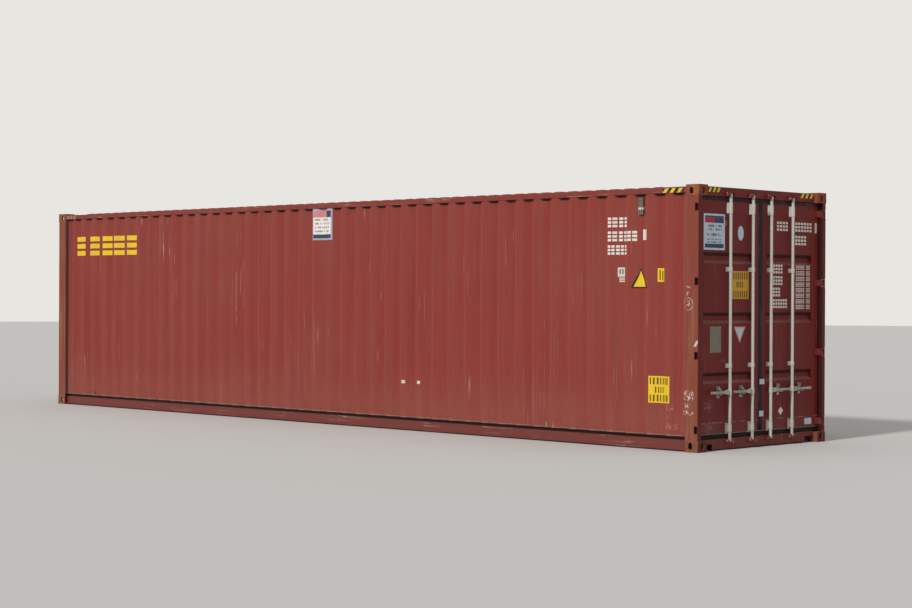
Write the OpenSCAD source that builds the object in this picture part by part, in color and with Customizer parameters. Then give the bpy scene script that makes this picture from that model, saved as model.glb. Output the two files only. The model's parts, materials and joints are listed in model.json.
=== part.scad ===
// Forty-foot high-cube steel dry container with double cargo doors, in millimetres.
// +X points at the door end, +Z up, and +Y is on the right of someone who faces the doors.
// The origin is the centre of the footprint, on the plane that the bottom castings stand on.

/* [Overall] */
// Outside length over the corner castings
box_l = 12192; // [9125:1:13716]
// Outside width over the corner castings
box_w = 2438; // [2300:1:2600]
// Outside height over the corner castings
box_h = 2896; // [2591:1:3050]

/* [Corner castings] */
// Length of a casting, along the side
casting_l = 178; // [174:1:190]
// Width of a casting, along the end
casting_w = 162; // [158:1:175]
// Height of a casting
casting_h = 118; // [112:1:124]
// Thickness of the outer walls of a casting
casting_wall = 26; // [18:1:30]
// Thickness of the inner walls of a casting
casting_inner_wall = 10; // [6:1:11]
// Length of the twistlock aperture
aperture_l = 124; // [118:0.5:126]
// Width of the twistlock aperture
aperture_w = 63.5; // [60:0.5:66]
// Distance from the end plane to the centre of an aperture
aperture_end = 103.5; // [101:0.5:104]
// Distance from the side plane to the centre of an aperture
aperture_side = 89.5; // [86:0.5:92]
// Height of the lashing hole in each upright face
lash_hole_h = 76; // [70:1:80]
// Width of the lashing hole in each upright face
lash_hole_w = 51; // [40:1:54]

/* [Side walls] */
// Thickness of the pressed side sheet
wall_t = 2; // [1.6:0.1:3]
// Setback of the wall's outer faces from the side plane
wall_setback = 9; // [9:0.5:12]
// Depth of a corrugation
wave_depth = 36; // [24:1:37]
// Width of a corrugation's recessed face
wave_inner = 70; // [50:1:90]
// Run of a corrugation's sloping face
wave_slope = 68; // [40:1:72]
// Distance from one corrugation to the next
wave_pitch = 279; // [250:1:320]
// Shift of the regular corrugations from mid length
wave_shift = -23; // [-40:1:40]

/* [Front wall] */
// Thickness of the pressed front sheet
front_t = 2; // [1.6:0.1:3]
// Depth of a corrugation in the front wall
front_depth = 45.6; // [30:0.1:50]
// Width of a recessed face in the front wall
front_inner = 104; // [80:1:120]
// Run of a sloping face in the front wall
front_slope = 18; // [10:1:30]
// Distance between corrugations in the front wall
front_pitch = 250; // [230:1:300]

/* [Roof] */
// Thickness of the roof sheet
roof_t = 2; // [1.6:0.1:3]
// Depth of the rib tops below the casting tops
roof_drop = 6; // [4:0.5:10]
// Height of a roof rib
rib_h = 20; // [10:1:26]
// Width of a rib's flat top
rib_top = 91; // [60:1:110]
// Run of a rib's sloping sides
rib_slope = 13.5; // [8:0.5:20]
// Run of a rib's sloping ends
rib_end_slope = 60; // [20:1:90]
// Distance from one rib to the next
rib_pitch = 209; // [180:1:260]
// Thickness of the plates beside the top castings
corner_plate_t = 3; // [2:0.5:4]
// Length of the plates beside the top castings
corner_plate_l = 300; // [200:1:330]
// Width of the plates beside the top castings
corner_plate_w = 150; // [100:1:200]

/* [Rails] */
// Height and width of the top rail tubes
top_rail = 60; // [50:1:66]
// Wall of the rail tubes
tube_t = 3; // [2.5:0.5:5]
// Setback of the top side rails from the side plane
top_rail_setback = 5; // [3:0.5:8]
// Setback of the roof sheet's edges from the rails' faces
roof_inset = 2; // [1:0.5:4]
// Clearance under the rails and cross members
ground_clear = 12.5; // [10:0.5:16]
// Height of the bottom side rail
bottom_rail_h = 152; // [146:1:162]
// Width of the bottom rail's upper flange
flange_upper = 48; // [44:1:52]
// Width of the bottom rail's lower flange
flange_lower = 30; // [20:1:40]
// Thickness of the bottom rail
rail_t = 4.5; // [3:0.5:6]
// Height of the front bottom tube
front_tube_h = 60; // [40:1:70]
// Gap between the tunnel's plate and the front bottom tube
front_tube_gap = 3; // [2:0.5:6]

/* [Posts] */
// Thickness of the pressed corner posts
post_t = 6; // [4:0.5:7]
// Setback of the posts from the side planes
post_side_setback = 3; // [2:0.5:5]
// Setback of the posts from the end planes
post_end_setback = 6; // [4:0.5:8]
// Width of the front post across the front wall
front_post_w = 150; // [130:1:156]
// Depth of the returns that the side and front walls butt against
post_return = 36; // [30:1:40]
// Width of the rear post's corner box, across the doors
corner_box_w = 62; // [56:1:64]
// Depth of the rear post's corner box, along the side
corner_box_d = 50; // [46:1:52]
// Length of the inner channel of the rear post
channel_l = 113; // [100:1:116]
// Width of the inner channel of the rear post
channel_w = 40; // [36:1:42]
// Thickness of the inner channel of the rear post
channel_t = 12; // [8:1:14]

/* [Floor and underframe] */
// Thickness of the plywood floor
floor_t = 28; // [21:1:30]
// Width of the steel strip along the middle of the floor
strip_w = 50; // [30:1:80]
// Length of a floor board
board_l = 2400; // [1800:1:3000]
// Gap between floor boards
board_gap = 2; // [1:0.5:3]
// Height of the cross members above the rails' lower faces
member_lift = 5; // [3:0.5:8]
// Height of a cross member
member_h = 122; // [116:1:124]
// Width of a cross member's flanges
member_w = 45; // [35:1:55]
// Thickness of a cross member
member_t = 4; // [3:0.5:6]
// Distance between cross members
member_pitch = 305; // [260:1:360]
// Clear width of the gooseneck tunnel
tunnel_w = 1029; // [1000:1:1060]
// Length of the gooseneck tunnel
tunnel_l = 3315; // [3200:1:3600]
// Height of the tunnel's ceiling
tunnel_h = 118; // [112:1:119]
// Thickness of the tunnel's plates
tunnel_t = 4; // [3:0.5:5]

/* [Door frame] */
// Setback of the header and sill faces from the end plane
header_setback = 60; // [58:1:64]
// Depth of the header and sill boxes
header_d = 74; // [60:1:80]
// Distance from the casting tops down to the header's lower edge
header_below = 115; // [105:1:125]
// Depth of the header's top below the casting tops
header_drop = 12; // [8:1:20]
// Height of the sill's top
sill_top = 125; // [120:1:128]
// Plate thickness of header and sill
sill_t = 4.5; // [3:0.5:6]
// Width of the recess at each end of the sill
sill_recess_w = 150; // [100:1:170]
// Height of the recess at each end of the sill
sill_recess_h = 62; // [40:1:70]
// Distance from the sill's end to its recess
sill_recess_in = 20; // [10:1:40]

/* [Doors] */
// Setback of the door faces from the end plane
door_setback = 75; // [74:0.5:80]
// Thickness of a door
door_d = 50; // [44:1:52]
// Width of the stiles
stile_w = 100; // [80:1:110]
// Height of the top and bottom rails of a door
door_rail_h = 150; // [120:1:170]
// Wall of the door frame tubes
door_tube_t = 3.2; // [2.5:0.1:5]
// Thickness of the door sheet
door_sheet_t = 2; // [1.6:0.1:3]
// Half the gap between the two doors' gaskets
door_half_gap = 4; // [3:0.5:6]
// Running gap between the hinged edge's gasket and the post
door_side_gap = 6; // [5:0.5:7]
// Running gap between the lower gasket and the sill
door_low_gap = 5; // [4:0.5:6]
// Running gap between the upper gasket and the header
door_top_gap = 8; // [6:0.5:10]
// Width of the gasket in the middle, between the doors
gasket_w = 20; // [14:1:24]
// Width of the gasket along the hinged edge
gasket_side_w = 24; // [18:1:28]
// Height of the gasket along the lower edge
gasket_h = 38; // [28:1:42]
// Height of the gasket along the upper edge
gasket_top_h = 30; // [24:1:36]
// Depth of the gasket
gasket_d = 36; // [28:1:40]
// Height of the three pressed grooves
groove_h = 120; // [90:1:140]
// Depth of the three pressed grooves
groove_depth = 36; // [20:1:40]
// Distance from one groove to the next
groove_pitch = 658; // [560:1:700]
// Height of the middle groove above the middle of the door
groove_lift = -5.5; // [-30:0.5:30]
// Slope of a groove's ends over its depth
groove_draft = 6; // [4:1:36]
// Distance from the end of a groove to the stile
groove_in = 4; // [3:1:20]

/* [Hinges] */
// Distance of the hinge pins from the end plane and from the side plane
pin_in = 16; // [15.5:0.5:18]
// Radius of a hinge pin
pin_r = 6; // [5:0.5:7]
// Radius of the knuckles and lugs round a pin
knuckle_r = 13; // [11:0.5:13]
// Height of a hinge blade
blade_h = 76; // [60:1:90]
// Thickness of a hinge blade
blade_t = 12; // [8:0.5:13]
// Height of the lowest hinge
hinge_z = 242; // [225:1:260]
// Distance from the casting tops down to the middle of the top hinge
hinge_below = 245; // [230:1:260]
// Number of hinges on a door
hinge_n = 4; // [2:1:4]
// Thickness of a hinge lug
lug_t = 16; // [10:1:20]
// Play between blade and lug
lug_play = 2; // [1:0.5:3]
// Radial clearance of a pin in its lug
pin_fit = 0.08; // [0.05:0.01:0.15]
// Length of a blade's seat on its door
blade_seat = 55; // [40:1:70]
// Distance from the door's edge in to the blade's bend
blade_bend = 10; // [6:1:20]

/* [Locking gear] */
// Setback of the locking bars' axes from the end plane
bar_setback = 35; // [34:0.5:38]
// Radius of a locking bar
bar_r = 17; // [15:0.5:17.5]
// Bore radius of a locking bar's tube
bar_bore_r = 13.5; // [11:0.5:14]
// Distance of the inner bars from the middle
bar_inner_y = 175; // [150:1:200]
// Distance of the outer bars from the middle
bar_outer_y = 595; // [570:1:620]
// Overlap of the bars' ends over header and sill
bar_overlap = 35; // [32:1:40]
// Running clearance of a bar in its brackets
bar_play = 0.3; // [0.2:0.05:0.5]
// Height of the large brackets
bracket_large_h = 120; // [90:1:130]
// Height of the small brackets
bracket_small_h = 48; // [36:1:60]
// Height of a large bracket's base above and below its ring
bracket_foot = 20; // [10:1:30]
// Distance from a door's lower edge to its lower large brackets
bracket_rise = 6; // [4:1:12]
// Distance from a door's upper edge to its upper large brackets
bracket_drop = 24; // [20:1:40]
// Width of a bracket's base
bracket_w = 74; // [64:1:84]
// Width of an upper large bracket's base
bracket_top_w = 52; // [48:1:74]
// Height of an upper large bracket's base above and below its ring
bracket_top_foot = 4; // [3:1:20]
// Thickness of a bracket's base
bracket_t = 6; // [4:0.5:8]
// Height of the lower small brackets above the lowest groove
bracket_low_above = 133; // [100:1:200]
// Distance from the highest groove down to the upper small brackets
bracket_high_below = 123; // [100:1:200]
// Wall of the rings and collars round a bar
collar_t = 5; // [4:0.5:6]
// Reach of a cam's nose from the bar's axis
cam_reach = 30; // [26:0.5:30.5]
// Radius of a cam's nose
nose_r = 9; // [6:0.5:10]
// Thickness of a cam round its bar
cam_t = 2.5; // [1:0.5:4]
// Height of a cam
cam_h = 28; // [20:1:30]
// Clear width of a keeper's mouth
keeper_mouth = 72; // [72:1:80]
// Thickness of a keeper's ears
keeper_ear = 16; // [10:1:20]
// Thickness of a keeper's bridge
keeper_bridge = 12; // [8:1:14]
// Gap between a bar's end and a keeper's bridge
keeper_gap = 6; // [5:0.5:8]
// Depth of a keeper
keeper_d = 50; // [40:1:54]

/* [Handles] */
// Distance from the lowest groove down to the handles' pivots
handle_below = 157; // [130:1:200]
// Length of a handle from the bar's axis to its tip
handle_l = 365; // [330:1:390]
// Height of a handle's flat bar
handle_h = 26; // [20:1:34]
// Thickness of a handle's flat bar
handle_t = 10; // [8:0.5:11]
// Distance from the bar's axis to the handle's pivot
pivot_out = 50; // [46:1:56]
// Radius of the pivot pin
pivot_r = 6; // [5:0.5:7]
// Clearance beside the pivot's lug
pivot_play = 0.3; // [0.2:0.05:0.5]
// Thickness of the lug that carries a pivot
ear_t = 12; // [8:1:14]
// Radius of the lug and of the handle's eye round a pivot
ear_r = 26; // [18:1:28]
// Height of the hub that carries a pivot's lug
hub_h = 68; // [50:1:80]
// Length of the taper between a handle's eye and its flat bar
neck_l = 90; // [40:1:110]
// Radius of a handle's rounded tip
tip_r = 16; // [13:1:20]
// Height of a handle retainer
retainer_h = 128; // [100:1:140]
// Width of a handle retainer
retainer_w = 40; // [30:1:50]
// Distance from the bar's axis to the retainer
retainer_out = 185; // [170:1:220]
// Thickness of a retainer's plate
retainer_t = 8; // [6:0.5:10]
// Thickness of the ledge under the handle
ledge_t = 10; // [6:1:12]
// Gap between the ledge and the handle
ledge_gap = 5; // [5:0.5:8]
// Height of the stop behind the handle
stop_h = 20; // [12:1:26]
// Gap between the stop and the handle
stop_gap = 6; // [5:0.5:8]
// Width of the hasp's block above the handle
hasp_w = 16; // [12:1:24]
// Height of the hasp's block above the handle
hasp_h = 30; // [20:1:36]
// Depth of the hasp's block above the handle
hasp_d = 26; // [20:1:30]
// Gap between the hasp's block and the handle
hasp_gap = 14; // [8:1:16]
// Thickness of the hasp's arm behind the handle
arm_t = 6; // [4:0.5:10]
// Reach of the arm from its retainer's middle towards the bar
arm_reach = 80; // [50:1:90]
// Height of the arm's end
arm_end_h = 22; // [14:1:30]

/* [Vents] */
// Width of a side vent
vent_w = 68; // [50:1:70]
// Height of a side vent
vent_h = 190; // [150:1:220]
// Depth of a side vent
vent_d = 24; // [16:1:30]
// Number of louvres in a vent
louvre_n = 6; // [3:1:8]
// Height of a louvre's slot
louvre_h = 5; // [3:0.5:8]
// Depth of a louvre's slot, and of the vent's edge beside it
louvre_d = 8; // [6:0.5:10]
// Slope of a louvre's slot
louvre_tilt = 30; // [15:1:45]
// Distance from the vent to the top rail
vent_drop = 34; // [20:1:60]

/* [Hidden] */
$fn = 40;
cut = 1;

paint = "#8c443c";
door_paint = "#6e3430";
casting_paint = "#91583f";
galvanised = "#a5a59b";
rubber = "#2d2d2d";
plywood = "#b08a5c";

// Planes of the outside box and of the frame
end_x = box_l / 2;
side_y = box_w / 2;
inner_end_x = end_x - casting_l;
inner_side_y = side_y - casting_w;
wall_y = side_y - wall_setback;
wall_z0 = ground_clear + bottom_rail_h;
roof_z = box_h - roof_drop - rib_h;
top_rail_z = roof_z - top_rail;
post_y = side_y - post_side_setback;
post_x = end_x - post_end_setback;
box_x = post_x - corner_box_d;
box_y = post_y - corner_box_w;
web_y = side_y - top_rail_setback - flange_upper;
channel_y = post_y - post_t - channel_w;

// Underframe levels
member_z = ground_clear + member_lift;
floor_z = member_z + member_h;
floor_top = floor_z + floor_t;
sill_x = end_x - header_setback;
sill_back_x = sill_x - header_d;
header_z = box_h - header_below;
front_tube_z = tunnel_h + tunnel_t + front_tube_gap;
front_x = end_x - post_end_setback;
front_wall_y = post_y - front_post_w;

// Door leaves
door_x = end_x - door_setback;
door_y0 = door_half_gap + gasket_w;
door_y1 = channel_y - door_side_gap - gasket_side_w;
door_z0 = sill_top + door_low_gap + gasket_h;
door_z1 = header_z - door_top_gap - gasket_top_h;
door_h = door_z1 - door_z0;
groove_z = (door_z0 + door_z1) / 2 + groove_lift;
groove_levels = [for (i = [-1 : 1]) groove_z + i * groove_pitch];
pin_x = end_x - pin_in;
pin_y = side_y - pin_in;
window_h = blade_h + 2 * lug_play + 2 * lug_t;
hinge_pitch = (box_h - hinge_below - hinge_z) / (hinge_n - 1);
hinge_levels = [for (i = [0 : hinge_n - 1]) hinge_z + i * hinge_pitch];
// Corners of a blade's cranked arm, each as its distance behind and inside the pin's axis
crank_root = [6, 4];
crank_front = [17, 41];
crank_back = [44, 43];
crank_elbow = [29, 31];

// Locking gear
bar_x = end_x - bar_setback;
bar_z0 = sill_top - bar_overlap;
bar_z1 = header_z + bar_overlap;
collar_r = bar_r + collar_t;
cam_body_r = bar_r + cam_t;
handle_z = groove_levels[0] - handle_below;
handle_x = bar_x + ear_t / 2 + pivot_play;

// Corrugations: the middles of the recessed faces along a wall of the given half length
function wave_half(inner, slope) = inner / 2 + slope;
function wave_count(half, reach, pitch, shift) =
    floor((half - 3 * reach - abs(shift)) / pitch);
function wave_middles(half, reach, pitch, shift) =
    let (n = wave_count(half, reach, pitch, shift))
    concat([reach - half],
           [for (k = [-n : n]) shift + k * pitch],
           [half - reach]);
function wave_edge(half, inner, slope, depth, pitch, shift) = concat(
    [[-half, 0]],
    [for (c = wave_middles(half, wave_half(inner, slope), pitch, shift))
        for (p = [[-inner / 2 - slope, 0], [-inner / 2, depth],
                  [inner / 2, depth], [inner / 2 + slope, 0]]) [c + p[0], p[1]]],
    [[half, 0]]);
function reversed(points) = [for (i = [len(points) - 1 : -1 : 0]) points[i]];
function shifted(points, d) = [for (p = points) [p[0], p[1] + d]];

// A pressed sheet seen on edge, its recesses towards +Y
module pressed_sheet(half, inner, slope, depth, pitch, shift, sheet) {
    outer = wave_edge(half, inner, slope, depth, pitch, shift);
    polygon(concat(outer, reversed(shifted(outer, sheet))));
}

// Copies on both long sides, made for +Y
module both_sides() {
    for (side = [0, 1]) mirror([0, side, 0]) children();
}

// Copies on both ends, made for +X
module both_ends() {
    for (end = [0, 1]) mirror([end, 0, 0]) children();
}

// A hollow tube along Y from one corner of its section, wall inside the given size
module tube_across(x, z, dx, dz, half, wall) {
    translate([x, half, z]) rotate([90, 0, 0]) linear_extrude(2 * half)
        difference() {
            square([dx, dz]);
            translate([wall, wall]) square([dx - 2 * wall, dz - 2 * wall]);
        }
}

// A slot with round ends, along its first axis
module slot(l, w) {
    for (s = [-1, 1]) translate([s * (l - w) / 2, 0]) circle(d = w);
    square([l - w, w], center = true);
}

// An upright lashing hole, through a casting's outer wall
module lash_hole() {
    linear_extrude(casting_wall + 2 * cut) rotate(90) slot(lash_hole_h, lash_hole_w);
}

// One casting of a lower corner, its outer corner at the origin
module casting() {
    cavity_l = casting_l - casting_wall - casting_inner_wall;
    cavity_w = casting_w - casting_wall - casting_inner_wall;
    cavity_h = casting_h - casting_wall - casting_inner_wall;
    hole_z = casting_wall + cavity_h / 2;
    difference() {
        cube([casting_l, casting_w, casting_h]);
        translate([casting_wall, casting_wall, casting_wall])
            cube([cavity_l, cavity_w, cavity_h]);
        translate([aperture_end, aperture_side, -cut])
            linear_extrude(casting_wall + 2 * cut) slot(aperture_l, aperture_w);
        translate([aperture_end, casting_wall + cut, hole_z]) rotate([90, 0, 0]) lash_hole();
        translate([-cut, aperture_side, hole_z]) rotate([90, 0, 90]) lash_hole();
    }
}

module casting_set() {
    both_sides() both_ends() translate([end_x, side_y, 0])
        mirror([1, 0, 0]) mirror([0, 1, 0]) casting();
}

module bottom_castings() {
    color(casting_paint) casting_set();
}

module top_castings() {
    color(casting_paint) translate([0, 0, box_h]) mirror([0, 0, 1]) casting_set();
}

// Front posts are one pressed section with returns for the side wall and the front wall
module front_posts() {
    color(casting_paint) translate([0, 0, casting_h]) linear_extrude(box_h - 2 * casting_h)
        both_sides() polygon([
            [-front_x, post_y], [-inner_end_x, post_y],
            [-inner_end_x, post_y - post_t - post_return],
            [-inner_end_x - post_t, post_y - post_t - post_return],
            [-inner_end_x - post_t, post_y - post_t],
            [-front_x + post_t, post_y - post_t],
            [-front_x + post_t, front_wall_y + post_t],
            [-front_x + post_t + post_return, front_wall_y + post_t],
            [-front_x + post_t + post_return, front_wall_y],
            [-front_x, front_wall_y]
        ]);
}

// Rear posts: a side plate that ends in a closed corner box, open at the hinges
module rear_post_section() {
    difference() {
        union() {
            translate([inner_end_x, post_y - post_t])
                square([post_x - inner_end_x, post_t]);
            translate([inner_end_x, post_y - post_t - post_return])
                square([post_t, post_return + post_t]);
            translate([box_x, box_y]) square([corner_box_d, corner_box_w]);
        }
        translate([box_x + post_t, box_y + post_t])
            square([corner_box_d - 2 * post_t, corner_box_w - 2 * post_t]);
    }
}

module rear_posts() {
    color(casting_paint) both_sides() difference() {
        translate([0, 0, casting_h]) linear_extrude(box_h - 2 * casting_h) rear_post_section();
        for (z = hinge_levels) translate([box_x, box_y - cut, z - window_h / 2])
            cube([corner_box_d + cut, corner_box_w + 2 * cut, window_h]);
    }
}

module rear_post_channels() {
    color(casting_paint) both_sides() translate([box_x - channel_l, channel_y, casting_h])
        linear_extrude(box_h - 2 * casting_h) difference() {
            square([channel_l, channel_w]);
            translate([channel_t, channel_t])
                square([channel_l - 2 * channel_t, channel_w]);
        }
}

// A hinge lug closes the corner box above or below a blade and holds the pin
module lug_outline() {
    difference() {
        union() {
            translate([pin_x, pin_y]) circle(knuckle_r);
            polygon([
                [box_x, post_y], [pin_x, post_y], [pin_x + knuckle_r, pin_y],
                [pin_x + knuckle_r, box_y + post_t], [post_x - post_t, box_y],
                [box_x + post_t, box_y], [box_x, box_y + post_t]
            ]);
        }
        translate([pin_x, pin_y]) circle(pin_r + pin_fit);
    }
}

module hinge_lugs() {
    color(casting_paint) both_sides() for (z = hinge_levels)
        for (low = [z - window_h / 2, z + blade_h / 2 + lug_play])
            translate([0, 0, low]) linear_extrude(lug_t) lug_outline();
}

module hinge_pins() {
    color(galvanised) both_sides() for (z = hinge_levels)
        translate([pin_x, pin_y, z - window_h / 2]) cylinder(r = pin_r, h = window_h);
}

// Channel rail, its flanges outwards under the wall
module bottom_side_rails() {
    color(paint) both_sides() translate([inner_end_x, web_y, ground_clear])
        rotate([90, 0, -90]) linear_extrude(2 * inner_end_x) mirror([1, 0, 0]) union() {
            square([rail_t, bottom_rail_h]);
            translate([0, bottom_rail_h - rail_t]) square([flange_upper, rail_t]);
            square([flange_lower, rail_t]);
        }
}

module top_side_rails() {
    color(paint) both_sides()
        translate([-inner_end_x, side_y - top_rail_setback - top_rail, top_rail_z])
            rotate([90, 0, 90]) linear_extrude(2 * inner_end_x) difference() {
                square(top_rail);
                translate([tube_t, tube_t]) square(top_rail - 2 * tube_t);
            }
}

module front_top_rail() {
    color(paint)
        tube_across(-front_x, top_rail_z, top_rail, top_rail, inner_side_y, tube_t);
}

// A tube across the front, with a box each side of the gooseneck tunnel below it
module front_bottom_rail() {
    leg_y = tunnel_w / 2 + tunnel_t;
    leg_h = front_tube_z - ground_clear;
    color(paint) {
        tube_across(-front_x, front_tube_z, top_rail, front_tube_h, front_wall_y, tunnel_t);
        both_sides() translate([-front_x, leg_y, ground_clear]) difference() {
            cube([top_rail, inner_side_y - leg_y, leg_h]);
            translate([tunnel_t, tunnel_t, tunnel_t]) cube([
                top_rail - 2 * tunnel_t, inner_side_y - leg_y - 2 * tunnel_t, leg_h - 2 * tunnel_t
            ]);
        }
    }
}

module door_header() {
    color(door_paint) tube_across(sill_back_x, header_z, header_d,
                                  box_h - header_drop - header_z, inner_side_y, sill_t);
}

// The sill is a box with a raised threshold behind the doors and a recess at each end
module door_sill() {
    sill_h = sill_top - ground_clear;
    color(door_paint) difference() {
        union() {
            tube_across(sill_back_x, ground_clear, header_d, sill_h, inner_side_y, sill_t);
            translate([sill_back_x - post_t, -channel_y, sill_top - sill_t])
                cube([post_t, 2 * channel_y, floor_top - sill_top + sill_t]);
        }
        both_sides() translate([sill_x - header_d / 2,
                                inner_side_y - sill_recess_in - sill_recess_w,
                                ground_clear - cut])
            cube([header_d / 2 + cut, sill_recess_w, sill_recess_h + cut]);
    }
}

module side_wall() {
    translate([0, wall_y, wall_z0]) mirror([0, 1, 0]) linear_extrude(top_rail_z - wall_z0)
        pressed_sheet(inner_end_x, wave_inner, wave_slope, wave_depth,
                      wave_pitch, wave_shift, wall_t);
}

module left_side_wall() {
    color(paint) mirror([0, 1, 0]) side_wall();
}

module right_side_wall() {
    color(paint) side_wall();
}

module front_wall() {
    wall_low = front_tube_z + front_tube_h;
    color(paint) difference() {
        translate([-front_x + post_t, 0, wall_low]) rotate([0, 0, -90])
            linear_extrude(top_rail_z - wall_low)
                pressed_sheet(front_wall_y, front_inner, front_slope, front_depth,
                              front_pitch, 0, front_t);
        both_sides() translate([-end_x, inner_side_y, box_h - casting_h])
            cube([casting_l, casting_w, casting_h]);
    }
}

// A rib's solid, drawn in by the given sheet thickness, closed and sloping at its ends
rib_half_l = side_y - top_rail_setback - top_rail;
module rib_solid(sheet) {
    half_top = rib_top / 2 - sheet / 2;
    half_low = half_top + rib_slope;
    top = rib_h - sheet;
    intersection() {
        translate([0, rib_half_l, 0]) rotate([90, 0, 0]) linear_extrude(2 * rib_half_l)
            polygon([[-half_low, 0], [half_low, 0], [half_top, top], [-half_top, top]]);
        translate([-half_low, 0, 0]) rotate([90, 0, 90]) linear_extrude(2 * half_low)
            polygon([
                [-rib_half_l + sheet, 0], [rib_half_l - sheet, 0],
                [rib_half_l - rib_end_slope, top], [rib_end_slope - rib_half_l, top]
            ]);
    }
}

module roof_sheet() {
    roof_x0 = -front_x + roof_inset;
    roof_y = side_y - top_rail_setback - roof_inset;
    span = inner_end_x - corner_plate_l - rib_top / 2 - rib_slope;
    n = floor(span / rib_pitch);
    color(paint) translate([0, 0, roof_z]) difference() {
        union() {
            translate([-inner_end_x, -roof_y, 0])
                cube([2 * inner_end_x, 2 * roof_y, roof_t]);
            translate([roof_x0, -inner_side_y, 0])
                cube([sill_back_x - roof_x0, 2 * inner_side_y, roof_t]);
            for (k = [-n : n]) translate([k * rib_pitch, 0, 0]) rib_solid(0);
        }
        for (k = [-n : n]) translate([k * rib_pitch, 0, 0]) rib_solid(roof_t);
    }
}

module roof_corner_plates() {
    color(paint) both_sides() both_ends()
        translate([inner_end_x - corner_plate_l, side_y - top_rail_setback - corner_plate_w,
                   roof_z + roof_t])
            cube([corner_plate_l, corner_plate_w, corner_plate_t]);
}

floor_x0 = top_rail - front_x;
floor_x1 = sill_back_x - post_t;
module floor_boards() {
    half_w = web_y - strip_w / 2 - board_gap;
    n = ceil((floor_x1 - floor_x0) / board_l);
    step = (floor_x1 - floor_x0 + board_gap) / n;
    color(plywood) both_sides() for (i = [0 : n - 1])
        translate([floor_x0 + i * step, strip_w / 2 + board_gap, floor_z])
            cube([step - board_gap, half_w, floor_t]);
}

module floor_strip() {
    color(galvanised) translate([floor_x0, -strip_w / 2, floor_z])
        cube([floor_x1 - floor_x0, strip_w, floor_t]);
}

// One channel cross member, from y0 to y1
module member(x, y0, y1) {
    translate([x, y1, member_z]) rotate([90, 0, 0]) linear_extrude(y1 - y0) difference() {
        square([member_w, member_h]);
        translate([member_t, member_t])
            square([member_w, member_h - 2 * member_t]);
    }
}

tunnel_x1 = tunnel_l - end_x;
module cross_members() {
    full_n = floor((inner_end_x - member_w - tunnel_x1 - tunnel_t) / member_pitch);
    short_n = floor((tunnel_x1 + inner_end_x - member_w) / member_pitch);
    color(paint) {
        for (i = [0 : full_n])
            member(tunnel_x1 + tunnel_t + i * member_pitch, -web_y, web_y);
        both_sides() for (i = [1 : short_n])
            member(tunnel_x1 - i * member_pitch, tunnel_w / 2 + tunnel_t, web_y);
    }
}

// Folded tunnel plate with a bow over it wherever the floor needs carrying
module gooseneck_tunnel() {
    x0 = -front_x;
    out_y = tunnel_w / 2 + tunnel_t;
    bow_n = floor((tunnel_l - post_end_setback - member_w) / member_pitch);
    color(paint) union() {
        translate([x0, -out_y, tunnel_h]) cube([tunnel_x1 - x0, 2 * out_y, tunnel_t]);
        both_sides() translate([x0 + top_rail, tunnel_w / 2, member_z])
            cube([tunnel_x1 - x0 - top_rail, tunnel_t, tunnel_h - member_z + cut]);
        for (i = [1 : bow_n])
            translate([tunnel_x1 - i * member_pitch, -tunnel_w / 2, tunnel_h + tunnel_t - cut])
                cube([member_w, tunnel_w, floor_z - tunnel_h - tunnel_t + cut]);
    }
}

// Keeper: two ears and a bridge with rounded corners, open to the back so that a cam can
// leave it. Made with its bridge upwards, its ears from z = 0
module keeper() {
    keeper_h = cam_h + keeper_gap + keeper_bridge;
    corner_y = keeper_mouth / 2 + keeper_ear - keeper_bridge;
    translate([sill_x, 0, 0]) rotate([90, 0, 90]) linear_extrude(keeper_d) difference() {
        union() {
            translate([-keeper_mouth / 2 - keeper_ear, 0])
                square([keeper_mouth + 2 * keeper_ear, keeper_h - keeper_bridge]);
            translate([-corner_y, 0]) square([2 * corner_y, keeper_h]);
            for (side = [-1, 1]) translate([side * corner_y, keeper_h - keeper_bridge])
                circle(keeper_bridge);
        }
        translate([-keeper_mouth / 2, -cut]) square([keeper_mouth, cam_h + keeper_gap + cut]);
    }
}

module keeper_row() {
    both_sides() for (y = [bar_inner_y, bar_outer_y]) translate([0, y, 0]) keeper();
}

module top_cam_keepers() {
    color(paint) translate([0, 0, bar_z1 - cam_h]) keeper_row();
}

module bottom_cam_keepers() {
    color(paint) translate([0, 0, bar_z0 + cam_h]) mirror([0, 0, 1]) keeper_row();
}

// A louvred box in a recess of the side wall, with its back on the sheet
module vent(x) {
    back_y = wall_y - wave_depth;
    low = top_rail_z - vent_drop - vent_h;
    gap = vent_h / (louvre_n + 1);
    translate([x, back_y, low]) difference() {
        translate([-vent_w / 2, 0, 0]) cube([vent_w, vent_d, vent_h]);
        for (i = [1 : louvre_n])
            translate([-vent_w / 2 + louvre_d, vent_d - louvre_d, i * gap - louvre_h])
                rotate([-louvre_tilt, 0, 0])
                    cube([vent_w - 2 * louvre_d, 2 * louvre_d, louvre_h]);
    }
}

vent_x = wave_shift + wave_pitch * (wave_count(inner_end_x, wave_half(wave_inner, wave_slope),
                                               wave_pitch, wave_shift) - 1);
module side_vents() {
    color(galvanised) {
        mirror([0, 1, 0]) vent(vent_x);
        vent(2 * wave_shift - vent_x);
    }
}

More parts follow.
